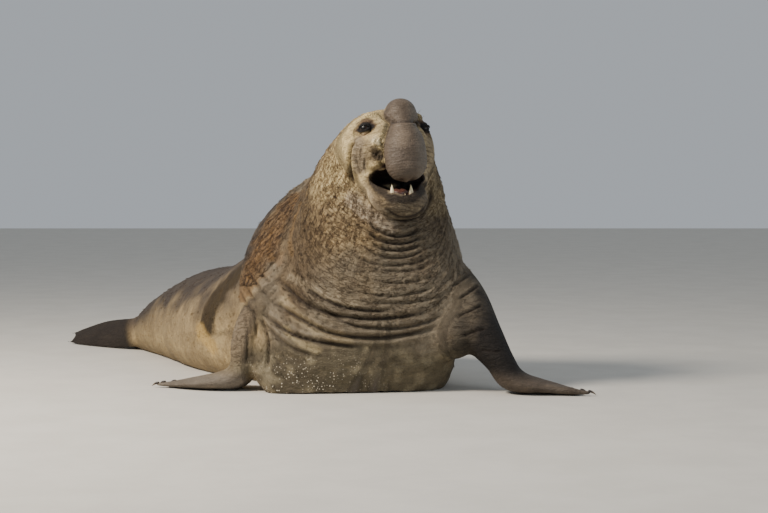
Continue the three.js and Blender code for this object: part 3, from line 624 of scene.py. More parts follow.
CAMERA = np.array([0, -9600, 1204.0])
DIP_DEGREES = 2.62
LENS, CAMERA_DIP, PHOTO_CENTRE = 1714.0, math.radians(DIP_DEGREES), (384, 256.5)
PIXEL_ON_HEAD = 5.8
CREASES_SEEN = (
    # under the chin
    (8, 9, [(384, 204), (377, 195), (373, 185)]),
    # throat folds
    (12, 25, [(369, 221), (376, 228), (388, 234), (400, 236), (412, 233), (422, 226)]),
    (11, 22, [(366, 229), (376, 237), (388, 242), (402, 243), (414, 240), (424, 233)]),
    (10, 18, [(372, 243), (384, 249), (398, 250), (412, 248), (424, 241)]),
    (9, 14, [(364, 246), (378, 255), (394, 258), (410, 256), (426, 249)]),
    (9, 11, [(352, 252), (366, 261), (382, 265), (400, 265), (418, 261), (434, 254)]),
    # cheek folds, outer one first
    (12, 24, [(354, 140), (350, 149), (349, 162), (351, 176), (355, 188)]),
    (7, 8, [(357, 150), (356, 160), (359, 171), (362, 181)]),
    (6, 7, [(365, 158), (364, 167), (367, 174)]),
    (5, 5, [(361, 146), (360, 155), (361, 164)]),
    (5, 9, [(377, 138), (375, 143), (378, 149)]),
    (5, 9, [(381, 137), (380, 142), (383, 147)]),
    (4, 7, [(374, 141), (379, 143), (384, 141)]),
    (4, 7, [(376, 147), (380, 146), (385, 147)]),
    # hollow between cheek and proboscis
    (22, 26, [(372, 157), (376, 153), (381, 150)]),
    (16, 20, [(376, 158), (383, 158)]),
    # swags from the shoulder across the chest
    (13, 24, [(274, 276), (286, 287), (300, 300), (318, 310), (340, 316), (370, 319), (400, 317),
              (430, 311)]),
    (11, 20, [(300, 283), (316, 295), (334, 304), (352, 309), (372, 311), (396, 311)]),
    (13, 24, [(268, 300), (282, 308), (302, 320), (326, 332), (350, 337), (380, 338), (410, 334),
              (440, 326)]),
    (12, 22, [(262, 312), (276, 324), (292, 334), (314, 341), (340, 345), (366, 347)]),
    (10, 14, [(264, 322), (276, 336), (290, 347), (306, 354), (322, 359)]),
    (10, 16, [(310, 300), (330, 314), (352, 325), (378, 328), (404, 328), (428, 322), (448, 312)]),
    (8, 10, [(356, 291), (376, 295), (398, 296), (420, 292), (440, 285)]),
    (8, 8, [(376, 281), (396, 283), (416, 281), (436, 275)]),
    (8, 8, [(368, 303), (390, 303), (414, 302), (434, 298), (452, 290)]),
    (8, 8, [(378, 268), (396, 271), (414, 270), (430, 265)]),
    # short folds at the shoulder and armpit
    (10, 14, [(246, 268), (252, 279), (262, 290), (270, 297)]),
    (9, 12, [(240, 277), (247, 290), (257, 302)]),
    (9, 12, [(238, 290), (245, 302), (254, 312), (262, 320)]),
    (8, 10, [(250, 262), (260, 273), (272, 284)]),
    (10, 18, [(262, 318), (267, 334), (268, 352), (266, 372)]),
    (8, 10, [(252, 306), (256, 322), (257, 340)]),
    (7, 8, [(244, 312), (247, 330), (248, 350), (246, 366)]),
    (8, 10, [(452, 286), (462, 280), (472, 272)]),
    (8, 12, [(456, 300), (468, 293), (480, 284)]),
    (8, 10, [(456, 318), (470, 311), (484, 304)]),
    (9, 12, [(462, 336), (474, 332), (488, 328)]),
    (7, 8, [(480, 350), (492, 352), (504, 350)]),
)


def curve_through(points, spacing):
    """Evenly spaced points on a smooth curve through the given ones"""
    points = np.array(points, float)
    t = np.arange(0, len(points) - 1, 0.05)
    line = along(points, t)
    run = np.r_[0, np.cumsum(np.linalg.norm(np.diff(line, axis=0), axis=1))]
    even = np.arange(0, run[-1], spacing)
    return np.stack([np.interp(even, run, column) for column in line.T], 1)


def laid_on(pixels, bvh):
    """The longest unbroken stretch of skin that a line of photo pixels falls on"""
    u, v = curve_through(pixels, 1.0).T
    x, y = (u - PHOTO_CENTRE[0]) / LENS, (PHOTO_CENTRE[1] - v) / LENS
    c, s = math.cos(CAMERA_DIP), math.sin(CAMERA_DIP)
    sight = unit(np.stack([x, c + s * y, c * y - s], 1))
    hits = [bvh.ray_cast(Vector(CAMERA), Vector(d))[0] for d in sight]
    hits = np.array([h for h in hits if h is not None])
    jumps = np.flatnonzero(np.linalg.norm(np.diff(hits, axis=0), axis=1) > 200)
    return max(np.split(hits, jumps + 1), key=len)


def pixels_of(co):
    """Where the camera sees each point, in photo pixels"""
    gap = co - CAMERA
    c, s = math.cos(CAMERA_DIP), math.sin(CAMERA_DIP)
    ahead = c * gap[:, 1] - s * gap[:, 2]
    up = s * gap[:, 1] + c * gap[:, 2]
    return np.stack([PHOTO_CENTRE[0] + LENS * gap[:, 0] / ahead, PHOTO_CENTRE[1] - LENS * up / ahead], 1)


def near_line(co, line):
    """Distance to a line of points, and how far along it, 0 to 1"""
    line = curve_through(line, 5.0)
    low, high = line.min(0) - 80, line.max(0) + 80
    near = np.flatnonzero(np.all((co > low) & (co < high), axis=1))
    tree = tree_of(line)
    found = np.array([tree.find(p)[1:] for p in co[near]])
    return near, found[:, 1], found[:, 0] / max(len(line) - 1, 1)


def dent(width, depth, line, push, crease_shade):
    """Presses a fold in along a line, with a low roll beside it, and marks the fold for painted shade"""
    near, gap, share = near_line(co, line)
    fade = np.minimum(1, 6 * np.minimum(share, 1 - share) + 0.12)
    x = gap / width
    push[near] += fade * depth * (-np.exp(-x**2) + 0.35 * np.exp(-((x - 2.2) ** 2)))
    crease_shade[near] = np.maximum(crease_shade[near], fade * min(depth / 20, 1) * np.exp(-(x / 0.8) ** 2))


nose_gap = gap_to(nose_rings(), co, (head[:, 1] > -100) & (head[:, 2] > -420))
put_points(skin.data, co)
bvh = BVHTree.FromPolygons(co.tolist(), [list(p.vertices) for p in skin.data.polygons])
push = np.zeros(len(co))
crease_shade = np.zeros(len(co))

# The proboscis stands clear of the cheeks, and a groove parts its knob from the lower swelling
on_nose = 1 - ramp(nose_gap, 7, 13)
beside_nose = ramp(head[:, 1], 20, 90) * (1 - ramp(head[:, 2], 60, 130)) * ramp(head[:, 2], -300, -240)
beside_nose *= ramp(nose_gap, 6, 12)
push -= 24 * beside_nose * np.exp(-((nose_gap - 18) / 15) ** 2)
# Painted shade in the hollow beside the proboscis
crease_shade += 0.7 * beside_nose * np.exp(-((nose_gap - 13) / 8) ** 2)
below_knob = head[:, 2] - 8 + 0.1 * (head[:, 1] - 150)
groove = np.exp(-(below_knob / 8) ** 2) * on_nose * ramp(head[:, 1], 60, 110)
push += -14 * groove - 9 * on_nose * np.exp(-((below_knob + 34) / 26) ** 2)
push += 9 * on_nose * np.exp(-((below_knob - 34) / 24) ** 2)
# Painted shade in the groove under the knob
crease_shade = np.maximum(crease_shade, 0.85 * groove)
for s in (-1, 1):
    nostril = np.exp(-np.sum(((head - [s * 30, 205, -350]) / [17, 24, 22]) ** 2, 1)) * on_nose
    push -= 16 * nostril
    # Painted shade in each nostril
    crease_shade = np.maximum(crease_shade, 1.2 * nostril)

# The jaw meets the throat in a crease
jaw_gap = gap_to(jaw_rings(), co, (head[:, 1] > -80) & (head[:, 2] > -700) & (head[:, 2] < -300))
meeting = np.exp(-((jaw_gap - far) / 11) ** 2) * (1 - ramp(jaw_gap + far, 70, 150))
meeting *= ramp(head[:, 0], -130, -50) * ramp(head[:, 1], -40, 30)
push -= 14 * meeting
# Painted shade where the jaw meets the throat
crease_shade = np.maximum(crease_shade, meeting)

# The chin's own lower edge, drawn where the camera sees it against the throat: dented, and painted dark as
# the shadow under the chin
CHIN_EDGE = [(432, 186), (431.5, 197), (427, 208), (417, 216.5), (404, 219.5), (392, 215), (384, 205)]
seen = np.c_[PIXEL_ON_HEAD * pixels_of(co), 0 * t]
chin_line = np.c_[PIXEL_ON_HEAD * np.array(CHIN_EDGE), np.zeros(len(CHIN_EDGE))]
near, gap, share = near_line(seen, chin_line)
towards = np.sum(normals_of(skin.data)[near] * unit(CAMERA - co[near]), 1)
in_front = (head[near, 1] > -160) & (head[near, 2] > -720) & (head[near, 2] < -250)
fade = np.minimum(1, 8 * np.minimum(share, 1 - share) + 0.2)
edge = np.exp(-(gap / 12) ** 2) * ramp(towards, -0.1, 0.25) * in_front * fade
push[near] -= 13 * edge
crease_shade[near] = np.maximum(crease_shade[near], edge)

# Fine rings round the proboscis, then every fold that was seen
rings = np.abs(np.sin(math.pi * (head[:, 2] + 8 * noise(co, 50, 31)) / 15)) ** 0.7
push += on_nose * ramp(-head[:, 2], -20, 60) * 2.2 * (rings - 0.6)
for width, depth, pixels in CREASES_SEEN:
    dent(width, depth, laid_on(pixels, bvh), push, crease_shade)

# Folds all round the neck and chest, broken up in patches by noise

# Each fold's station, and its depth against the deepest
SWAGS = np.array([
    [12.1, 0.2], [12.5, 0.4], [12.93, 1], [13.36, 0.9], [13.75, 1], [14.08, 1], [14.45, 0.7], [14.8, 0.7],
    [15.15, 0.7], [15.5, 0.5], [15.85, 0.6], [16.2, 0.5], [16.55, 0.6], [16.9, 0.5], [17.25, 0.5],
    [17.6, 0.6], [17.95, 0.6], [18.25, 0.7], [18.55, 0.6], [18.85, 0.6], [19.15, 0.5], [19.5, 0.3],
    [19.9, 0.1],
])
lie = np.stack([t * 170, np.sin(turn) * 260, np.cos(turn) * 260], 1)
warp = 0.22 * noise(lie * [1, 0.6, 0.6], 240, 1) + 0.09 * noise(lie * [1, 0.5, 0.5], 90, 2)
phase = np.interp(t + warp, SWAGS[:, 0], np.arange(len(SWAGS)))
depth = np.interp(t, SWAGS[:, 0], SWAGS[:, 1]) * (1 - 0.5 * ramp(t, 15, 16.5))
front = ramp(-np.cos(turn), -0.35, 0.45)
patchy = 0.5 + 0.7 * noise(lie * [1, 0.35, 0.35], 150, 3)
roll = np.abs(np.sin(math.pi * phase)) ** 0.6
folds = depth * front * trunk_share * np.clip(patchy, 0.05, 1.1)
push += 15 * folds * (roll - 0.7)
# Painted shade in the trough of each fold
crease_shade = np.maximum(crease_shade, folds * (1 - roll) ** 2)

wide = np.interp(t, [0, 8, 12, 16, 21], [0.3, 0.5, 1, 1, 0.5])
push += trunk_share * wide * (6 * noise(lie * [1, 0.4, 0.4], 70, 4) + 4 * noise(co, 34, 5))
rough = trunk_share * ramp(t, 14.2, 15.4) * (1 - ramp(t, 18.5, 20))
push += rough * (3.5 * noise(co, 20, 6))

normal = unit(relaxed(normals_of(skin.data), edges, 2))
co = co + normal * (push - 4)[:, None]

# Eyes: an almond opening pulled in under the ball, lids that follow it, a brow fold and a bag

EYE_OPENING, EYE_TALL, LID_ROLL = 38.0, (10.0, 15.0), 15.0


def seen_from_eye(s, head):
    """Along the lid, up, and out of the eye on side s, with the way out itself"""
    out = np.array([s * math.sin(EYE_TURN), math.cos(EYE_TURN), 0])
    along_lid = np.array([s * math.cos(EYE_TURN), -math.sin(EYE_TURN), 0])
    local = head - [s * EYE_SIDE, EYE_FORWARD, EYE_UP]
    return local @ along_lid, local[:, 2], local @ out, out


def swelling(x, y, middle, tall, long):
    return np.exp(-((y - middle) / tall) ** 2 - (x / long) ** 2)


for _, s in SIDES:
    x, y, z, out = seen_from_eye(s, to_head(co))
    y = y + 0.06 * x
    near = (np.hypot(x, y) < 80) & (z > -30)
    x, y, z = x[near], y[near], z[near]
    tall = np.where(y > 0, *EYE_TALL)
    edge = (np.sqrt((x / EYE_OPENING) ** 2 + (y / tall) ** 2) - 1) * tall
    ball_z = np.sqrt(np.maximum(EYE_RADIUS**2 - x**2 - y**2, 0))
    lid_z = np.sqrt(np.maximum((EYE_RADIUS + 6) ** 2 - x**2 - y**2, 0))
    lid_z += 3 * np.exp(-((edge - 7) / 5) ** 2)
    target = lid_z + (ball_z - 10 - lid_z) * (1 - ramp(edge, -6, 1))
    keep = ramp(edge, LID_ROLL * 0.6, 46)
    new_z = target + (z - target) * keep
    # the brow and the fold under it, the bag under the eye and the fold over it
    new_z += 10 * swelling(x, y, 40, 13, 46) - 6 * swelling(x, y, 24, 6, 40)
    new_z += 3 * swelling(x, y, -38, 9, 36) - 3 * swelling(x, y, -27, 5, 36)
    co[near] += ((new_z - z)[:, None] * out) @ HEAD_AXES
co[:, 2] = np.maximum(co[:, 2], 0)
put_points(skin.data, co)

# Coat colours by place


def linear(hexed):
    c = [int(hexed[i:i + 2], 16) / 255 for i in (0, 2, 4)]
    return [*(x / 12.92 if x <= 0.04045 else ((x + 0.055) / 1.055) ** 2.4 for x in c), 1.0]


normal = unit(relaxed(normals_of(skin.data), edges, 1))
head = to_head(co)
coat = np.tile(linear("766b59")[:3], (len(co), 1))


def tint(hexed, weight):
    """Turns the coat towards a colour, by weight"""
    coat[:] += np.clip(weight, 0, 1)[:, None] * (np.array(linear(hexed)[:3]) - coat)


# The back, flanks and belly, then the neck and shoulder, paler or darker on each side; the darker side of the
# neck and the low chest are partly painted shade
side, upside = np.sin(turn), np.cos(turn)
blotch = noise(co, 160, 11)
mottle = noise(co, 60, 12)
hind = 1 - ramp(t, 11.5, 12.6)
tint("93805f", hind)
tint("40372f", hind * ramp(upside + 0.3 * blotch + 0.15 * mottle, -0.2, 0.7))
tint("a8936c", hind * ramp(-np.abs(upside + 0.25) + 0.3 * blotch + 0.1 * mottle, -0.45, 0.1))
tint("5a4b3d", hind * (1 - ramp(t, 0.5, 3)))
neck = ramp(t + 0.5 * blotch, 14.2, 16) * trunk_share
tint("94805f", neck * ramp(-side + 0.35 * blotch, 0.05, 0.65))
# Partly its own greyer coat and partly painted shade: the neck darker on the animal's left, away from the
# light
tint("6f6351", neck * ramp(side + 0.3 * blotch, 0.1, 0.7))
shoulder = ramp(t + 0.6 * mottle, 12.4, 13.8) * (1 - ramp(t + 0.6 * blotch, 15.4, 16.8)) * trunk_share
tint("5c4a31", shoulder * ramp(-side + 0.2 * mottle, 0.3, 0.7) * ramp(upside, -0.85, -0.3) * 0.8)
belly = (1 - ramp(co[:, 2] + 60 * blotch, 190, 330)) * ramp(t, 10, 11.5)
# Partly its own olive-brown and partly painted shade: the low chest darker
tint("5e5542", belly)
# Painted shade on the low chest beside the animal's right fore flipper
tint("4c4332", belly * ramp(-side, 0.1, 0.5) * 0.7)
tint("8a7f66", belly * ramp(mottle + 0.5 * blotch, 0.1, 0.6) * 0.7)

# The face, chin, throat and proboscis
on_face = ramp(head[:, 1] + 30 * blotch, -190, -60) * ramp(head[:, 2], -520, -380)
tint("b9a781", on_face)
near_face = ramp(head[:, 1] + 60 * blotch, -420, -200) * ramp(head[:, 2] + 60 * mottle, -430, -230)
# Painted light: face and neck paler on the animal's right, where the light falls
tint("c6b285", near_face * ramp(-head[:, 0] + 40 * mottle, 40, 160))
# Painted shade: the face darker on the animal's left, away from the light
tint("9a8a6c", on_face * ramp(head[:, 0], 60, 200))
tint("b09a6c", ramp(head[:, 2] + 40 * mottle, 40, 130) * ramp(head[:, 1], -260, -60) * 0.7)
chin = ramp(head[:, 1], 20, 90) * ramp(head[:, 2], -640, -560)
chin *= 1 - ramp(head[:, 2] + 25 * mottle, -420, -350)
# Partly the chin's own dark grey and partly painted shade under the head
tint("4b4233", chin)
# Painted shade: the chin darkest on the animal's left, away from the light
tint("3a3227", chin * ramp(head[:, 0] + 60 * mottle, -60, 60))
tint("7d735b", chin * ramp(noise(co, 22, 13), 0.15, 0.55) * 0.7)
throat = np.exp(-((t - 18.6) / 0.9) ** 2) * ramp(-upside, 0.6, 0.95)
tint("a09078", throat * 0.7)
nose_tone = 1 - ramp(nose_gap, 9, 22)
tint("50453a", nose_tone * ramp(head[:, 1], 30, 90))
highlight = np.exp(-((head[:, 0] + 25) / 40) ** 2 - ((head[:, 2] + 110) / 80) ** 2)
tint("766859", on_nose * np.clip(highlight + 0.5 * mottle, 0, 1) * 0.8)
tint("756c60", on_nose * ramp(head[:, 0], 25, 85) * 0.6)

# The fore flippers, the left one near-black, partly its wet hide and mostly painted shade, with painted shade
# round its root, and the hind flippers
arms = (1 - trunk_share) * (co[:, 2] < 900) * (co[:, 1] < 900)
tint("786a56", arms * ramp(co[:, 2], 80, 300) * (co[:, 0] < 0))
out_on_arm = arms * ramp(far + 40 * mottle + 30 * blotch, 15, 210)
left_shoulder = (co[:, 2] < 800) * (co[:, 1] < 900) * (co[:, 0] > 0)
# Painted shade round the root of the left fore flipper
tint("2c241c", left_shoulder * ramp(far + 30 * mottle, 4, 120) * 0.55)
# Painted shade, partly wet hide: the left fore flipper near-black
tint("17110c", out_on_arm * (co[:, 0] > 0))
tint("544a40", arms * (1 - ramp(co[:, 2], 60, 150)) * (co[:, 0] > 0))
tint("6c6358", arms * (1 - ramp(co[:, 2], 60, 150)) * (co[:, 0] < 0))
tint("2a231d", (co[:, 1] > 2000) * (1 - trunk_share))

# The lining of the mouth, with painted shade darkening it inwards, and the dark skin round the eyes
by_mouth = (head[:, 1] > -140) & (head[:, 2] > -480) & (head[:, 2] < -180)
mouth_gap = gap_to(mouth_rings(), co, by_mouth)
lining = (1 - ramp(mouth_gap, 9, 16)) * (1 - on_nose * ramp(head[:, 1], 120, 140))
tint("54403a", lining)
tint("1c0f0d", lining * (1 - ramp(head[:, 1], 40, 120)))

for _, s in SIDES:
    x, y, z, out = seen_from_eye(s, head)
    near = (np.hypot(x, y) < 120) & (z > -40)
    rim = 1 + (np.hypot(x + 3, np.abs(y - 1) + 46) - 77) / 34
    tint("4a382b", near * (1 - ramp(rim + 0.15 * mottle, 1.0, 2.1)) * (0.35 + 0.65 * ramp(y, -26, 6)))
    tint("0e0a09", near * (1 - ramp(rim + 0.06 * mottle, 0.8, 1.25)))
    tint("6a5238", near * swelling(x, y, 42, 9, 44) * 0.75)
    tint("a98f78", near * swelling(x, y, -40, 9, 36) * 0.6)

# Strokes of colour seen in the photograph: hex, width in millimetres, strength, photo pixels
STROKES_SEEN = (
    ("32260f", 140, 1.0, [(235, 276), (226, 284), (217, 296), (210, 310), (206, 324)]),
    ("33260f", 50, 0.6, [(230, 276), (217, 290), (208, 304), (203, 318)]),
    ("6b5335", 150, 0.85, [(286, 206), (272, 230), (259, 252), (249, 272), (244, 290)]),
    ("7a5c38", 60, 0.5, [(262, 246), (254, 262), (248, 276)]),
    ("b89a5e", 70, 0.8, [(199, 332), (206, 340), (212, 348)]),
    ("75695a", 62, 0.85, [(359, 143), (358, 155), (360, 168)]),
    # The next two strokes are painted shade in the hollow between cheek and proboscis
    ("6a5c4a", 50, 0.7, [(367, 146), (370, 154), (377, 156)]),
    ("4a3c30", 32, 0.7, [(374, 150), (375, 155), (380, 157), (384, 155)]),
    ("cbbf9f", 22, 0.75, [(373, 139), (376, 141), (379, 144)]),
    ("b5a078", 16, 0.7, [(361, 136), (367, 138), (373, 136)]),
    ("4a3829", 15, 0.8, [(357, 123), (362, 120), (368, 119.5), (373, 122)]),
    ("a8966c", 34, 0.7, [(370, 170), (377, 165), (383, 160)]),
    # Partly the chin's own grey and partly painted shade, beside the chin
    ("6f5f45", 56, 0.7, [(371, 182), (377, 191), (384, 201)]),
    ("241b13", 36, 0.9, [(374, 183), (381, 190), (389, 196.5), (403, 199), (417, 195), (427, 184)]),
    ("b3a693", 60, 0.7, [(352, 200), (362, 210), (376, 219), (392, 226)]),
    ("70583c", 42, 0.6, [(283, 214), (277, 230), (276, 248), (280, 262)]),
    ("6a4f2c", 26, 0.7, [(272, 226), (269, 244), (272, 260)]),
    ("7f6541", 24, 0.6, [(300, 205), (294, 222), (290, 240), (292, 256)]),
    ("a09070", 40, 0.6, [(283, 300), (300, 318), (322, 332), (350, 340)]),
    ("a3936f", 32, 0.6, [(286, 330), (300, 342), (318, 350)]),
    ("9d8f76", 34, 0.6, [(290, 276), (310, 288), (332, 298), (356, 304)]),
)
stroke_waver = 1 + 0.35 * noise(co, 45, 21)
for hexed, width, strength, pixels in STROKES_SEEN:
    near, gap, share = near_line(co, laid_on(pixels, bvh))
    weight = np.zeros(len(co))
    weight[near] = strength * (1 - ramp(gap * stroke_waver[near], width * 0.45, width))
    tint(hexed, weight)

# Where the hide is pebbled, where streaky, and where sand sticks to it
pebbled = np.clip(trunk_share * ramp(t, 13.2, 14.6) * (1 - 0.5 * ramp(t, 19, 20.5)) + 0.3, 0, 1)
pebbled = np.maximum(pebbled, 0.7 * arms * ramp(co[:, 2], 60, 200))
pebbled = np.maximum(pebbled, np.maximum(0.6 * on_face, 0.9 * chin)) * (1 - 0.75 * on_nose)
near, gap, share = near_line(co, laid_on([(290, 196), (274, 226), (260, 250), (248, 274)], bvh))
on_shoulder = np.zeros(len(co))
on_shoulder[near] = 1 - ramp(gap, 110, 210)
streaky = np.clip(neck * ramp(-side, 0, 0.6) + 0.5 * neck * ramp(side, 0.3, 0.8) + on_shoulder, 0, 1)
pebbled = np.maximum(pebbled, 0.7 * on_shoulder)
sand = (1 - ramp(co[:, 2] + 60 * blotch, 60, 230)) * ramp(-co[:, 1], -500, -100) * ramp(-co[:, 0], -150, 450)
sand *= 1 - ramp(far, 25, 60)


def keep_attribute(mesh, name, kind, values):
    attribute = mesh.attributes.new(name, kind, "POINT")
    field = {"FLOAT_COLOR": "color", "FLOAT_VECTOR": "vector", "FLOAT": "value"}[kind]
    attribute.data.foreach_set(field, np.ascontiguousarray(values, np.float32).ravel())


on_body = trunk_share[:, None]
ring = nearest // turns
from_middle = co - grid.mean(1)[ring]
out_side = np.sum(from_middle * unit(grid[:, turns // 4] - grid[:, 3 * turns // 4])[ring], 1)
out_up = np.sum(from_middle * unit(grid[:, 0] - grid[:, turns // 2])[ring], 1)
lie_metres = np.stack([t * 0.17, out_side / 1000, out_up / 1000], 1)
backwards = -unit(by_t[nearest])
ruffled = trunk_share * ramp(co[:, 2], 60, 160) * (0.25 + 0.75 * ramp(t, 10, 13)) * (1 - 0.9 * on_face)
ruffled *= np.clip(0.6 + 0.8 * blotch, 0.1, 1)
unwrap = np.stack([turn / (2 * math.pi), t / len(TRUNK), 0 * t], 1)
keep_attribute(skin.data, "coat_colour", "FLOAT_COLOR", np.c_[np.clip(coat, 0, 1), np.ones(len(co))])
keep_attribute(skin.data, "relief", "FLOAT_VECTOR", np.stack([np.clip(crease_shade, 0, 1), pebbled, streaky], 1))
keep_attribute(skin.data, "dusting", "FLOAT_VECTOR", np.stack([sand, lining, on_nose], 1))
lie_metres = lie_metres * on_body + (1 - on_body) * head[:, [2, 0, 1]] / 1000
keep_attribute(skin.data, "lie", "FLOAT_VECTOR", lie_metres)
keep_attribute(skin.data, "backwards", "FLOAT_VECTOR", backwards)
keep_attribute(skin.data, "ruffled", "FLOAT", ruffled)
keep_attribute(skin.data, "unwrap", "FLOAT_VECTOR", unwrap)

# Set down in the part's frame, with fewer triangles where the skin is plain

low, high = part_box("right_eye")
EYES = {name: from_head([s * EYE_SIDE, EYE_FORWARD, EYE_UP]) for name, s in SIDES}
OFFSET = np.array((low + high) / 2) * 1000 - EYES["right"]


def placed(p):
    return (np.asarray(p, float) + OFFSET) / 1000


put_points(skin.data, placed(co))
skin_bvh = BVHTree.FromPolygons(co.tolist(), [list(p.vertices) for p in skin.data.polygons])
triangles = sum(len(p.vertices) - 2 for p in skin.data.polygons)
mod = skin.modifiers.new("fewer_triangles", "DECIMATE")
mod.ratio = min(1.0, SKIN_TRIANGLES / triangles)
settled(skin)
skin.data.shade_smooth()

# Materials


def per_metre(millimetres):
    return 1000 / millimetres


def add(tree, kind, inputs=(), out=0, **settings):
    """Adds a node with its settings, values and links, and gives back one of its outputs"""
    made = tree.nodes.new(kind)
    for key, value in settings.items():
        setattr(made, key, value)
    for key, value in dict(inputs).items():
        if isinstance(value, bpy.types.NodeSocket):
            tree.links.new(value, made.inputs[key])
        else:
            made.inputs[key].default_value = value
    return made.outputs[out]


def blank_material(name):
    mat = bpy.data.materials.new(name)
    mat.use_nodes = True
    return mat, mat.node_tree, mat.node_tree.nodes["Principled BSDF"]


def creased_hide():
    """Short stiff coat over thick creased hide: matt, with painted shade darkening every crease, and paler
    along some chest folds.
    The coat's colours and the places of each kind of hide are kept on the mesh"""
    mat, tree, bsdf = blank_material("short_coat_over_creased_hide")
    carried = {"place": add(tree, "ShaderNodeTexCoord", out="Object")}
    for name in ("coat_colour", "relief", "dusting", "lie"):
        out = "Color" if name == "coat_colour" else "Vector"
        carried[name] = add(tree, "ShaderNodeAttribute", out=out, attribute_name=name)
    kinds = (("creased", "relief", "X"), ("pebbled", "relief", "Y"), ("streaky", "relief", "Z"),
             ("sandy", "dusting", "X"), ("inside_mouth", "dusting", "Y"), ("taut", "dusting", "Z"))
    on = {}
    for name, source, axis in kinds:
        on[name] = add(tree, "ShaderNodeSeparateXYZ", {"Vector": carried[source]}, out=axis)
    on["furred"] = add(tree, "ShaderNodeMapRange", {"Value": on["taut"], "To Min": 1.0, "To Max": 0.3})

    # Noise: name, laid on, stretch, size in millimetres, detail, roughness
    clouds = (
        ("patches", "place", (1, 1, 1), 130, 4.0, 0.6),
        ("streaks", "lie", (0.28, 1.4, 1.4), 52, 6.0, 0.7),
        ("swirls", "lie", (1.6, 0.5, 0.5), 46, 6.0, 0.68),
        ("hair", "place", (1, 1, 0.45), 8, 3.0, 0.7),
        ("across", "lie", (1.7, 0.45, 0.45), 46, 3.0, 0.55),
        ("down", "lie", (0.3, 1.2, 1.2), 54, 4.0, 0.6),
        ("netted", "place", (1, 1, 1), 34, 3.0, 0.6),
    )
    pattern = {}
    for name, laid, stretch, size, detail, rough in clouds:
        spread = add(tree, "ShaderNodeVectorMath", {0: carried[laid], 1: stretch}, operation="MULTIPLY")
        inputs = {"Vector": spread, "Scale": per_metre(size), "Detail": detail, "Roughness": rough}
        pattern[name] = add(tree, "ShaderNodeTexNoise", inputs)
    # Creases run where these three cross their middle value: 0 in the crease and 1 beside it
    for name, width in (("across", 0.05), ("down", 0.05), ("netted", 0.045)):
        gap = add(tree, "ShaderNodeMath", {0: pattern[name], 1: 0.5}, operation="SUBTRACT")
        gap = add(tree, "ShaderNodeMath", {0: gap}, operation="ABSOLUTE")
        inputs = {"Value": gap, "From Max": width}
        pattern[name] = add(tree, "ShaderNodeMapRange", inputs, interpolation_type="SMOOTHSTEP")

    # Light and dark over the coat's colour: tone, strength, noise, where it starts, where full, kind of hide
    tones = (
        ((0.66, 0.62, 0.58), 0.6, "patches", 0.40, 0.70, "furred"),
        ((0.36, 0.30, 0.24), 0.95, "streaks", 0.50, 0.63, "streaky"),
        ((1.30, 1.26, 1.14), 0.7, "streaks", 0.47, 0.36, "streaky"),
        ((0.48, 0.44, 0.38), 0.75, "swirls", 0.52, 0.68, "pebbled"),
        ((1.38, 1.36, 1.30), 0.75, "swirls", 0.48, 0.34, "furred"),
        # The next three rows are painted shade in the fine creases of the relief
        ((0.40, 0.35, 0.29), 0.85, "across", 0.9, 0.0, "pebbled"),
        ((0.36, 0.29, 0.22), 0.85, "down", 0.9, 0.0, "streaky"),
        ((0.55, 0.49, 0.42), 0.55, "netted", 0.8, 0.0, "pebbled"),
        ((1.22, 1.20, 1.14), 0.5, "hair", 0.52, 0.72, "furred"),
        ((0.70, 0.66, 0.60), 0.5, "hair", 0.48, 0.28, "furred"),
        ((0.84, 0.81, 0.78), 0.5, "swirls", 0.50, 0.66, "taut"),
        ((1.35, 1.32, 1.27), 0.6, "hair", 0.52, 0.70, "taut"),
        ((0.68, 0.65, 0.62), 0.6, "hair", 0.48, 0.30, "taut"),
    )
    shade = carried["coat_colour"]
    for tone, strength, name, start, full, kind in tones:
        inputs = {"Value": pattern[name], "From Min": start, "From Max": full, "To Max": strength}
        share = add(tree, "ShaderNodeMapRange", inputs, interpolation_type="SMOOTHSTEP")
        share = add(tree, "ShaderNodeMath", {0: share, 1: on[kind]}, operation="MULTIPLY")
        inputs = {"Factor": share, 6: shade, 7: (*tone, 1)}
        shade = add(tree, "ShaderNodeMix", inputs, out=2, data_type="RGBA", blend_type="MULTIPLY")
    # Painted shade: the coat turns near-black along the creases kept on the mesh
    share = add(tree, "ShaderNodeMath", {0: on["creased"], 1: 0.9}, operation="MULTIPLY")
    inputs = {"Factor": share, 6: shade, 7: linear("241a13")}
    shade = add(tree, "ShaderNodeMix", inputs, out=2, data_type="RGBA")

    # Sand grains stuck low on the chest, in drifts
    grains = add(tree, "ShaderNodeTexVoronoi", {"Vector": carried["place"], "Scale": per_metre(15)})
    inputs = {"Value": grains, "From Min": 0.30, "From Max": 0.17}
    grains = add(tree, "ShaderNodeMapRange", inputs, interpolation_type="SMOOTHSTEP")
    inputs = {"Value": pattern["patches"], "From Min": 0.36, "From Max": 0.52}
    drifts = add(tree, "ShaderNodeMapRange", inputs, interpolation_type="SMOOTHSTEP")
    grains = add(tree, "ShaderNodeMath", {0: grains, 1: drifts}, operation="MULTIPLY")
    grains = add(tree, "ShaderNodeMath", {0: grains, 1: on["sandy"]}, operation="MULTIPLY")
    inputs = {"Factor": grains, 6: shade, 7: linear("d9ceb8")}
    shade = add(tree, "ShaderNodeMix", inputs, out=2, data_type="RGBA")
    tree.links.new(shade, bsdf.inputs["Base Color"])

    # Taut or wet hide is smoother than the coat
    inputs = {"Value": on["taut"], "To Min": 0.74, "To Max": 0.5}
    rough = add(tree, "ShaderNodeMapRange", inputs)
    inputs = {0: on["inside_mouth"], 1: -0.3, 2: rough}
    rough = add(tree, "ShaderNodeMath", inputs, operation="MULTIPLY_ADD")
    tree.links.new(rough, bsdf.inputs["Roughness"])
    bsdf.inputs["Specular IOR Level"].default_value = 0.32

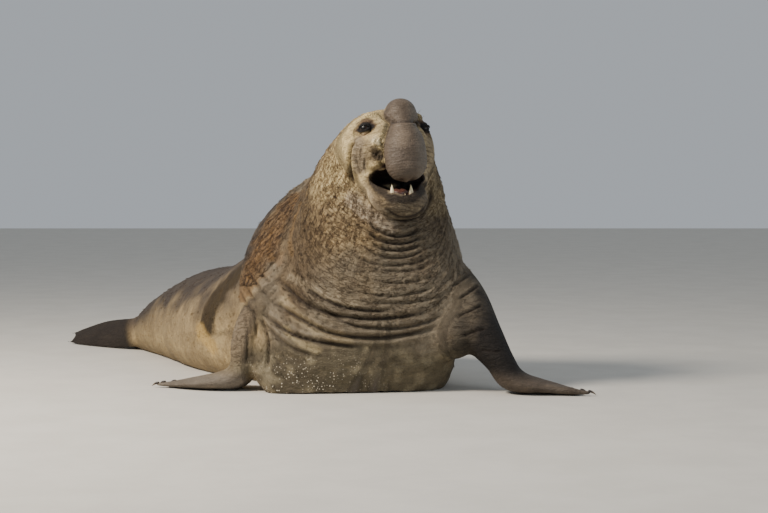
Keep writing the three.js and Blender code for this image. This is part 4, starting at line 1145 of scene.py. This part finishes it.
    # Relief in millimetres: how high, which noise, kind of hide
    reliefs = (
        (5, "across", "pebbled"),
        (6, "down", "streaky"),
        (3.5, "netted", "pebbled"),
        (20, "swirls", "pebbled"),
        (6, "swirls", "furred"),
        (22, "streaks", "streaky"),
        (5, "hair", "furred"),
        (2, "swirls", "taut"),
        (1, "across", "taut"),
        (1.5, "hair", "taut"),
    )
    height = 0.0
    for high, name, kind in reliefs:
        part = add(tree, "ShaderNodeMath", {0: pattern[name], 1: on[kind]}, operation="MULTIPLY")
        height = add(tree, "ShaderNodeMath", {0: part, 1: high, 2: height}, operation="MULTIPLY_ADD")
    bump = add(tree, "ShaderNodeBump", {"Height": height, "Distance": 0.001, "Strength": 0.9})
    tree.links.new(bump, bsdf.inputs["Normal"])
    return mat


def two_toned(name, pale, dark, size, rough, high, stretch=(1, 1, 1), fade=None):
    """Two tones in soft patches of a size in millimetres, with relief as high as high. fade names a value
    kept on the mesh, 0 at the root and 1 at the tip, that turns the dark tone to the pale one"""
    mat, tree, bsdf = blank_material(name)
    place = add(tree, "ShaderNodeTexCoord", out="Object")
    spread = add(tree, "ShaderNodeVectorMath", {0: place, 1: stretch}, operation="MULTIPLY")
    inputs = {"Vector": spread, "Scale": per_metre(size), "Detail": 5.0, "Roughness": 0.65}
    cloud = add(tree, "ShaderNodeTexNoise", inputs)
    inputs = {"Value": cloud, "From Min": 0.35, "From Max": 0.65}
    share = add(tree, "ShaderNodeMapRange", inputs, interpolation_type="SMOOTHSTEP")
    if fade:
        reach = add(tree, "ShaderNodeAttribute", out="Fac", attribute_name=fade)
        reach = add(tree, "ShaderNodeMath", {0: cloud, 1: 0.5, 2: reach}, operation="MULTIPLY_ADD")
        inputs = {"Value": reach, "From Min": 0.55, "From Max": 0.95}
        share = add(tree, "ShaderNodeMapRange", inputs, interpolation_type="SMOOTHSTEP")
    inputs = {"Factor": share, 6: linear(dark), 7: linear(pale)}
    shade = add(tree, "ShaderNodeMix", inputs, out=2, data_type="RGBA")
    tree.links.new(shade, bsdf.inputs["Base Color"])
    bsdf.inputs["Roughness"].default_value = rough
    bump = add(tree, "ShaderNodeBump", {"Height": cloud, "Distance": high / 1000})
    tree.links.new(bump, bsdf.inputs["Normal"])
    return mat


def wet_eye():
    """A seal's eye: a wide black pupil, a thin dark brown iris and a bloodshot dark rim under a wet cornea"""
    mat, tree, bsdf = blank_material("wet_dark_eye")
    away = add(tree, "ShaderNodeAttribute", out="Fac", attribute_name="away_from_pupil")
    place = add(tree, "ShaderNodeTexCoord", out="Object")
    fibres = add(tree, "ShaderNodeTexNoise", {"Vector": place, "Scale": per_metre(2.5), "Detail": 3.0})
    edge = add(tree, "ShaderNodeMath", {0: fibres, 1: 0.12, 2: away}, operation="MULTIPLY_ADD")
    shade = linear("060404")
    for hexed, start, full in (("24150c", 0.50, 0.58), ("120b08", 0.74, 0.84), ("2c1a15", 0.92, 1.05)):
        inputs = {"Value": edge, "From Min": start, "From Max": full}
        share = add(tree, "ShaderNodeMapRange", inputs, interpolation_type="SMOOTHSTEP")
        inputs = {"Factor": share, 6: shade, 7: linear(hexed)}
        shade = add(tree, "ShaderNodeMix", inputs, out=2, data_type="RGBA")
    tree.links.new(shade, bsdf.inputs["Base Color"])
    bsdf.inputs["Roughness"].default_value = 0.35
    bsdf.inputs["Specular IOR Level"].default_value = 0.2
    bsdf.inputs["Coat Weight"].default_value = 0.12
    bsdf.inputs["Coat Roughness"].default_value = 0.1
    bump = add(tree, "ShaderNodeBump", {"Height": fibres, "Distance": 0.0003})
    tree.links.new(bump, bsdf.inputs["Normal"])
    return mat


FLESH = ["hindquarters", "flank", "chest", "neck", "head", "proboscis", "lower_jaw", "left_fore_flipper",
         "right_fore_flipper", "tail", "right_hind_flipper", "left_hind_flipper"]
hide = creased_hide()
skin.data.materials.clear()
skin.data.materials.append(hide)

# Eyes


def eye(name, s, mat):
    mesh = bpy.data.meshes.new(name + "_eye_ball")
    bm = bmesh.new()
    bmesh.ops.create_uvsphere(bm, u_segments=64, v_segments=40, radius=1)
    bm.to_mesh(mesh)
    bm.free()
    turn_out = EYE_TURN - math.radians(8)
    gaze = unit(np.array([s * math.sin(turn_out), math.cos(turn_out), 0.12])) @ HEAD_AXES
    way = unit(points_of(mesh))
    away = np.arccos(np.clip(way @ gaze, -1, 1))
    cornea = 1.6 * (1 - ramp(away, 0.35, 0.75))
    put_points(mesh, placed(EYES[name] + way * (EYE_RADIUS + cornea)[:, None]))
    keep_attribute(mesh, "away_from_pupil", "FLOAT", away)
    mesh.shade_smooth()
    mesh.materials.append(mat)
    return shown(name + "_eye_ball", mesh)


eyes_wet = wet_eye()
eye_balls = {name: eye(name, s, eyes_wet) for name, s in SIDES}

# Teeth, tongue, nails and whiskers


def horn(foot, tip, radius, bow, points=14, rows=12, flat=1.0):
    """Rings of a tapered curved horn from foot to tip, bowed by the vector bow at its middle"""
    foot, tip, bow = (np.asarray(v, float) for v in (foot, tip, bow))
    share = np.linspace(0, 1, rows)
    run = unit(tip - foot)
    side = unit(np.cross(run, bow))
    centre = foot + (tip - foot) * share[:, None] + bow * (4 * share * (1 - share))[:, None]
    size = radius * (1.015 - share**2.2)
    one = np.ones((rows, 1))
    return ovals(centre, one * side, one * np.cross(run, side), size, size * flat, size * flat, 2, 2, points)


def rooted_piece(name, lofts, mat):
    """Joins lofts into one piece that knows, at each point, how far it lies from root to tip"""
    mesh = turned_out(mesh_of(name, [tube(rings) for rings in lofts]))
    reach = [np.r_[np.repeat(np.linspace(0, 1, len(rings)), rings.shape[1]), 0, 1] for rings in lofts]
    keep_attribute(mesh, "root_to_tip", "FLOAT", np.concatenate(reach))
    put_points(mesh, placed(points_of(mesh)))
    mesh.shade_smooth()
    mesh.materials.append(mat)
    return shown(name, mesh)


# Teeth in the head's axes: foot (side, forward, up), tip, radius at the gum. The lower jaw hangs a little
# to the animal's right
JAW_SHIFT = -15
TEETH = []
for s in (-1, 1):
    TEETH.append(((JAW_SHIFT + s * 56, 132, -462), (JAW_SHIFT + s * 55, 153, -352), 18))
    TEETH.append(((JAW_SHIFT + s * 16, 150, -462), (JAW_SHIFT + s * 16, 157, -404), 7))
    TEETH.append(((s * 46, 108, -216), (s * 46, 114, -300), 15))
    TEETH += [((s * x, 106, -222), (s * x, 110, -276), 6) for x in (9, 25)]
    for k in range(4):
        TEETH.append(((s * (104 + 7 * k), 92 - 26 * k, -408), (s * (102 + 7 * k), 94 - 26 * k, -366), 8))
ivory = two_toned("worn_tooth_enamel", "d9cba4", "6a4a2c", 6, 0.32, 0.5, (1, 1, 0.3), "root_to_tip")
teeth = rooted_piece("teeth", [from_head(horn(foot, tip, r, (0, 7, 0.01))) for foot, tip, r in TEETH], ivory)


def tongue():
    """Two swellings with a groove between them, wet and pitted"""
    rings = to_head(ball(-6, 52, -392, (64, 72, 38)))
    groove = np.exp(-((rings[..., 0] + 6) / 9) ** 2) * ramp(rings[..., 2], -392, -370)
    rings[..., 2] -= 9 * groove
    flesh = two_toned("wet_tongue", "6b473b", "3d2620", 9, 0.35, 1.2)
    return rooted_piece("tongue", [from_head(rings)], flesh)


tongue_piece = tongue()

NAIL_REACH = 26
nails = []
for digits in (LEFT_DIGITS, RIGHT_DIGITS):
    for row in digits:
        foot, tip, high = row[:3], row[3:6], row[7]
        run = unit(tip - foot)
        end = tip + run * NAIL_REACH
        end[2] = 6
        root = tip - run * NAIL_REACH * 0.8 + [0, 0, high * 0.3]
        nails.append(horn(root, end, 10, (0, 0, 6), flat=0.75))
horny = two_toned("dark_horn_nail", "5b4a3a", "241a14", 5, 0.42, 0.6, (1, 1, 1), "root_to_tip")
nail_piece = rooted_piece("nails", nails, horny)


def whiskers():
    """Stiff bristles in rows on the lip pads, and a few over each eye, rooted where a line meets the skin"""
    lofts = []
    rng = np.random.default_rng(7)
    rows = [(row, k) for row in range(5) for k in range(5)]
    for s in (-1, 1):
        for row, k in rows:
            start = from_head([s * (132 + 9 * k + 4 * (row % 2)), 320, -136 - 22 * row])
            hit, normal = skin_bvh.ray_cast(Vector(start), Vector(from_head([0, -1, 0]) - EYE_MIDPOINT))[:2]
            if hit is None or to_head(np.array(hit))[1] < -20:
                continue
            long = rng.uniform(36, 62) * (1 - 0.08 * row)
            way = unit(np.array(normal) + from_head([s * 0.9, 0.1, -0.5]) - EYE_MIDPOINT)
            root = np.array(hit) - 4 * way
            droop = np.array([0, 0, rng.uniform(5, 11)])
            lofts.append(horn(root, root + way * long, rng.uniform(0.6, 0.9), droop, points=5, rows=7))
        for k in range(5):
            start = from_head([s * (120 + 11 * k), 320, 62 - 3 * k])
            hit, normal = skin_bvh.ray_cast(Vector(start), Vector(from_head([0, -1, 0]) - EYE_MIDPOINT))[:2]
            way = unit(np.array(normal) + from_head([s * 0.3, 0.2, 0.9]) - EYE_MIDPOINT)
            root = np.array(hit) - 4 * way
            lofts.append(horn(root, root + way * rng.uniform(30, 46), 0.9, (0, -3, 3), points=5, rows=6))
    bristle = two_toned("dark_bristle", "6a5a46", "33281e", 12, 0.4, 0.1, (1, 1, 1), "root_to_tip")
    return rooted_piece("whiskers", lofts, bristle)


whisker_piece = whiskers()

# The coat, in short flat tufts that break the neck's and body's outline


def tuft_blades():
    """One tuft: four flat blades from one root, a unit long, lying along X and lifting towards Z"""
    verts, faces = [], []
    blades = ((-0.5, 0.8, 0.16), (-0.15, 1.0, 0.24), (0.2, 0.9, 0.3), (0.55, 0.75, 0.18))
    for k, (yaw, long, lift) in enumerate(blades):
        way = np.array([math.cos(yaw), math.sin(yaw), 0])
        across = np.array([-way[1], way[0], 0])
        foot = 0.10 * across * (k - 1.5)
        ring = [foot - 0.09 * across, foot + 0.09 * across, foot + [0, 0, 0.08]]
        middle = foot + 0.55 * long * way + [0, 0, lift * 0.75]
        mid = [middle - 0.07 * across, middle + 0.07 * across, middle + [0, 0, 0.05]]
        base = len(verts)
        verts += ring + mid + [foot + long * way + [0, 0, lift]]
        sides = ((0, 2, 1), (0, 1, 4, 3), (1, 2, 5, 4), (2, 0, 3, 5), (3, 4, 6), (4, 5, 6), (5, 3, 6))
        faces += [[base + f for f in face] for face in sides]
    mesh = bpy.data.meshes.new("tuft")
    mesh.from_pydata([list(v) for v in verts], [], faces)
    keep_attribute(mesh, "in_tuft", "FLOAT_VECTOR", np.array(verts))
    return turned_out(mesh)


def scattered_tufts():
    """Geometry Nodes: tufts scattered over the skin where it is ruffled, each lying backwards along it"""
    tree = bpy.data.node_groups.new("coat_tufts", "GeometryNodeTree")
    sockets = {}
    for name, kind, value in (("Skin", "NodeSocketGeometry", None), ("Tuft", "NodeSocketObject", None),
                              ("Tufts per square metre", "NodeSocketFloat", 1000.0),
                              ("Tuft length", "NodeSocketFloat", 0.02), ("Hide", "NodeSocketMaterial", None)):
        sockets[name] = tree.interface.new_socket(name, in_out="INPUT", socket_type=kind)
        if value is not None:
            sockets[name].default_value = value
    tree.interface.new_socket("Coat", in_out="OUTPUT", socket_type="NodeSocketGeometry")
    given = tree.nodes.new("NodeGroupInput").outputs
    ruffled = add(tree, "GeometryNodeInputNamedAttribute", {"Name": "ruffled"}, data_type="FLOAT")
    inputs = {0: ruffled, 1: given["Tufts per square metre"]}
    density = add(tree, "ShaderNodeMath", inputs, operation="MULTIPLY")
    inputs = {"Mesh": given["Skin"], "Density": density, "Seed": 11}
    points = add(tree, "GeometryNodeDistributePointsOnFaces", inputs)
    normal = points.node.outputs["Normal"]
    backwards = add(tree, "GeometryNodeInputNamedAttribute", {"Name": "backwards"}, data_type="FLOAT_VECTOR")
    upright = add(tree, "FunctionNodeAlignRotationToVector", {"Vector": normal}, axis="Z")
    inputs = {"Rotation": upright, "Vector": backwards}
    lying = add(tree, "FunctionNodeAlignRotationToVector", inputs, axis="X", pivot_axis="Z")
    inputs = {2: 0.6, 3: 1.25, "Seed": 5}
    size = add(tree, "FunctionNodeRandomValue", inputs, out=1, data_type="FLOAT")
    size = add(tree, "ShaderNodeMath", {0: size, 1: given["Tuft length"]}, operation="MULTIPLY")
    tuft = add(tree, "GeometryNodeObjectInfo", {"Object": given["Tuft"]}, out="Geometry")
    inputs = {"Points": points, "Instance": tuft, "Rotation": lying, "Scale": size}
    coat = add(tree, "GeometryNodeInstanceOnPoints", inputs)
    coat = add(tree, "GeometryNodeRealizeInstances", {"Geometry": coat})
    coat = add(tree, "GeometryNodeSetMaterial", {"Geometry": coat, "Material": given["Hide"]})
    tree.links.new(coat, tree.nodes.new("NodeGroupOutput").inputs["Coat"])
    return tree, {name: socket.identifier for name, socket in sockets.items()}


def coat_of(skin_piece, hide):
    tuft = shown("tuft", tuft_blades())
    holder = shown("coat", skin_piece.data.copy())
    tree, named = scattered_tufts()
    mod = holder.modifiers.new("tufts", "NODES")
    mod.node_group = tree
    mod[named["Tuft"]] = tuft
    mod[named["Hide"]] = hide
    mod[named["Tufts per square metre"]] = 1150.0
    mod[named["Tuft length"]] = 0.019
    settled(holder)
    bpy.data.objects.remove(tuft)
    mesh = holder.data
    # The OFBake unwrap: each tuft a patch 0.003 across at its root's place
    root, within = (np.zeros(len(mesh.vertices) * 3, np.float32) for _ in range(2))
    mesh.attributes["unwrap"].data.foreach_get("vector", root)
    mesh.attributes["in_tuft"].data.foreach_get("vector", within)
    flat = root.reshape(-1, 3)[:, :2] + 0.003 * (within.reshape(-1, 3)[:, :2] - [0.5, 0])
    corner = np.zeros(len(mesh.loops), np.int32)
    mesh.loops.foreach_get("vertex_index", corner)
    layer = mesh.uv_layers.new(name="OFBake")
    layer.uv.foreach_set("vector", np.ascontiguousarray(flat[corner], np.float32).ravel())
    mesh.materials.clear()
    mesh.materials.append(hide)
    return holder


coat_piece = coat_of(skin, hide)

# What each piece rides on and stands for

for piece in (skin, teeth, tongue_piece, nail_piece, whisker_piece, coat_piece, *eye_balls.values()):
    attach(piece, "root")
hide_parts(*FLESH)
for name, ball_piece in eye_balls.items():
    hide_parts(name + "_eye")

# Room, light and camera

floor_mesh = bpy.data.meshes.new("studio_floor")
floor_mesh.from_pydata([(-30, -30, 0), (30, -30, 0), (30, 30, 0), (-30, 30, 0)], [], [(0, 1, 2, 3)])
floor = shown("studio_floor", floor_mesh)
floor_mesh.materials.append(two_toned("pale_studio_floor", "cbc7be", "c5c1b8", 400, 0.9, 0.0))

world = bpy.data.worlds.new("studio")
bpy.context.scene.world = world
world.use_nodes = True
world.node_tree.nodes["Background"].inputs["Color"].default_value = linear("dfe6ee")
world.node_tree.nodes["Background"].inputs["Strength"].default_value = 0.55


def soft_light(name, place, aim, size, power, hexed):
    data = bpy.data.lights.new(name, "AREA")
    data.shape, data.size, data.energy = "DISK", size, power
    data.color = linear(hexed)[:3]
    lamp = bpy.data.objects.new(name, data)
    lamp.location = placed(place)
    lamp.rotation_euler = (Vector(placed(aim)) - lamp.location).to_track_quat("-Z", "Y").to_euler()
    bpy.context.scene.collection.objects.link(lamp)
    return lamp


soft_light("key", (-4900, -2600, 5600), (-100, 300, 700), 2.0, 930, "fff5e8")
soft_light("fill", (5200, -5200, 2600), (-100, 300, 700), 4.0, 120, "e4edf7")

SENSOR = 36
lens = bpy.data.cameras.new("photo_camera")
lens.sensor_width, lens.lens = SENSOR, LENS / (2 * PHOTO_CENTRE[0]) * SENSOR
camera = bpy.data.objects.new("photo_camera", lens)
camera.location = placed(CAMERA)
camera.rotation_euler = (math.radians(90 - DIP_DEGREES), 0, 0)
bpy.context.scene.collection.objects.link(camera)
bpy.context.scene.camera = camera
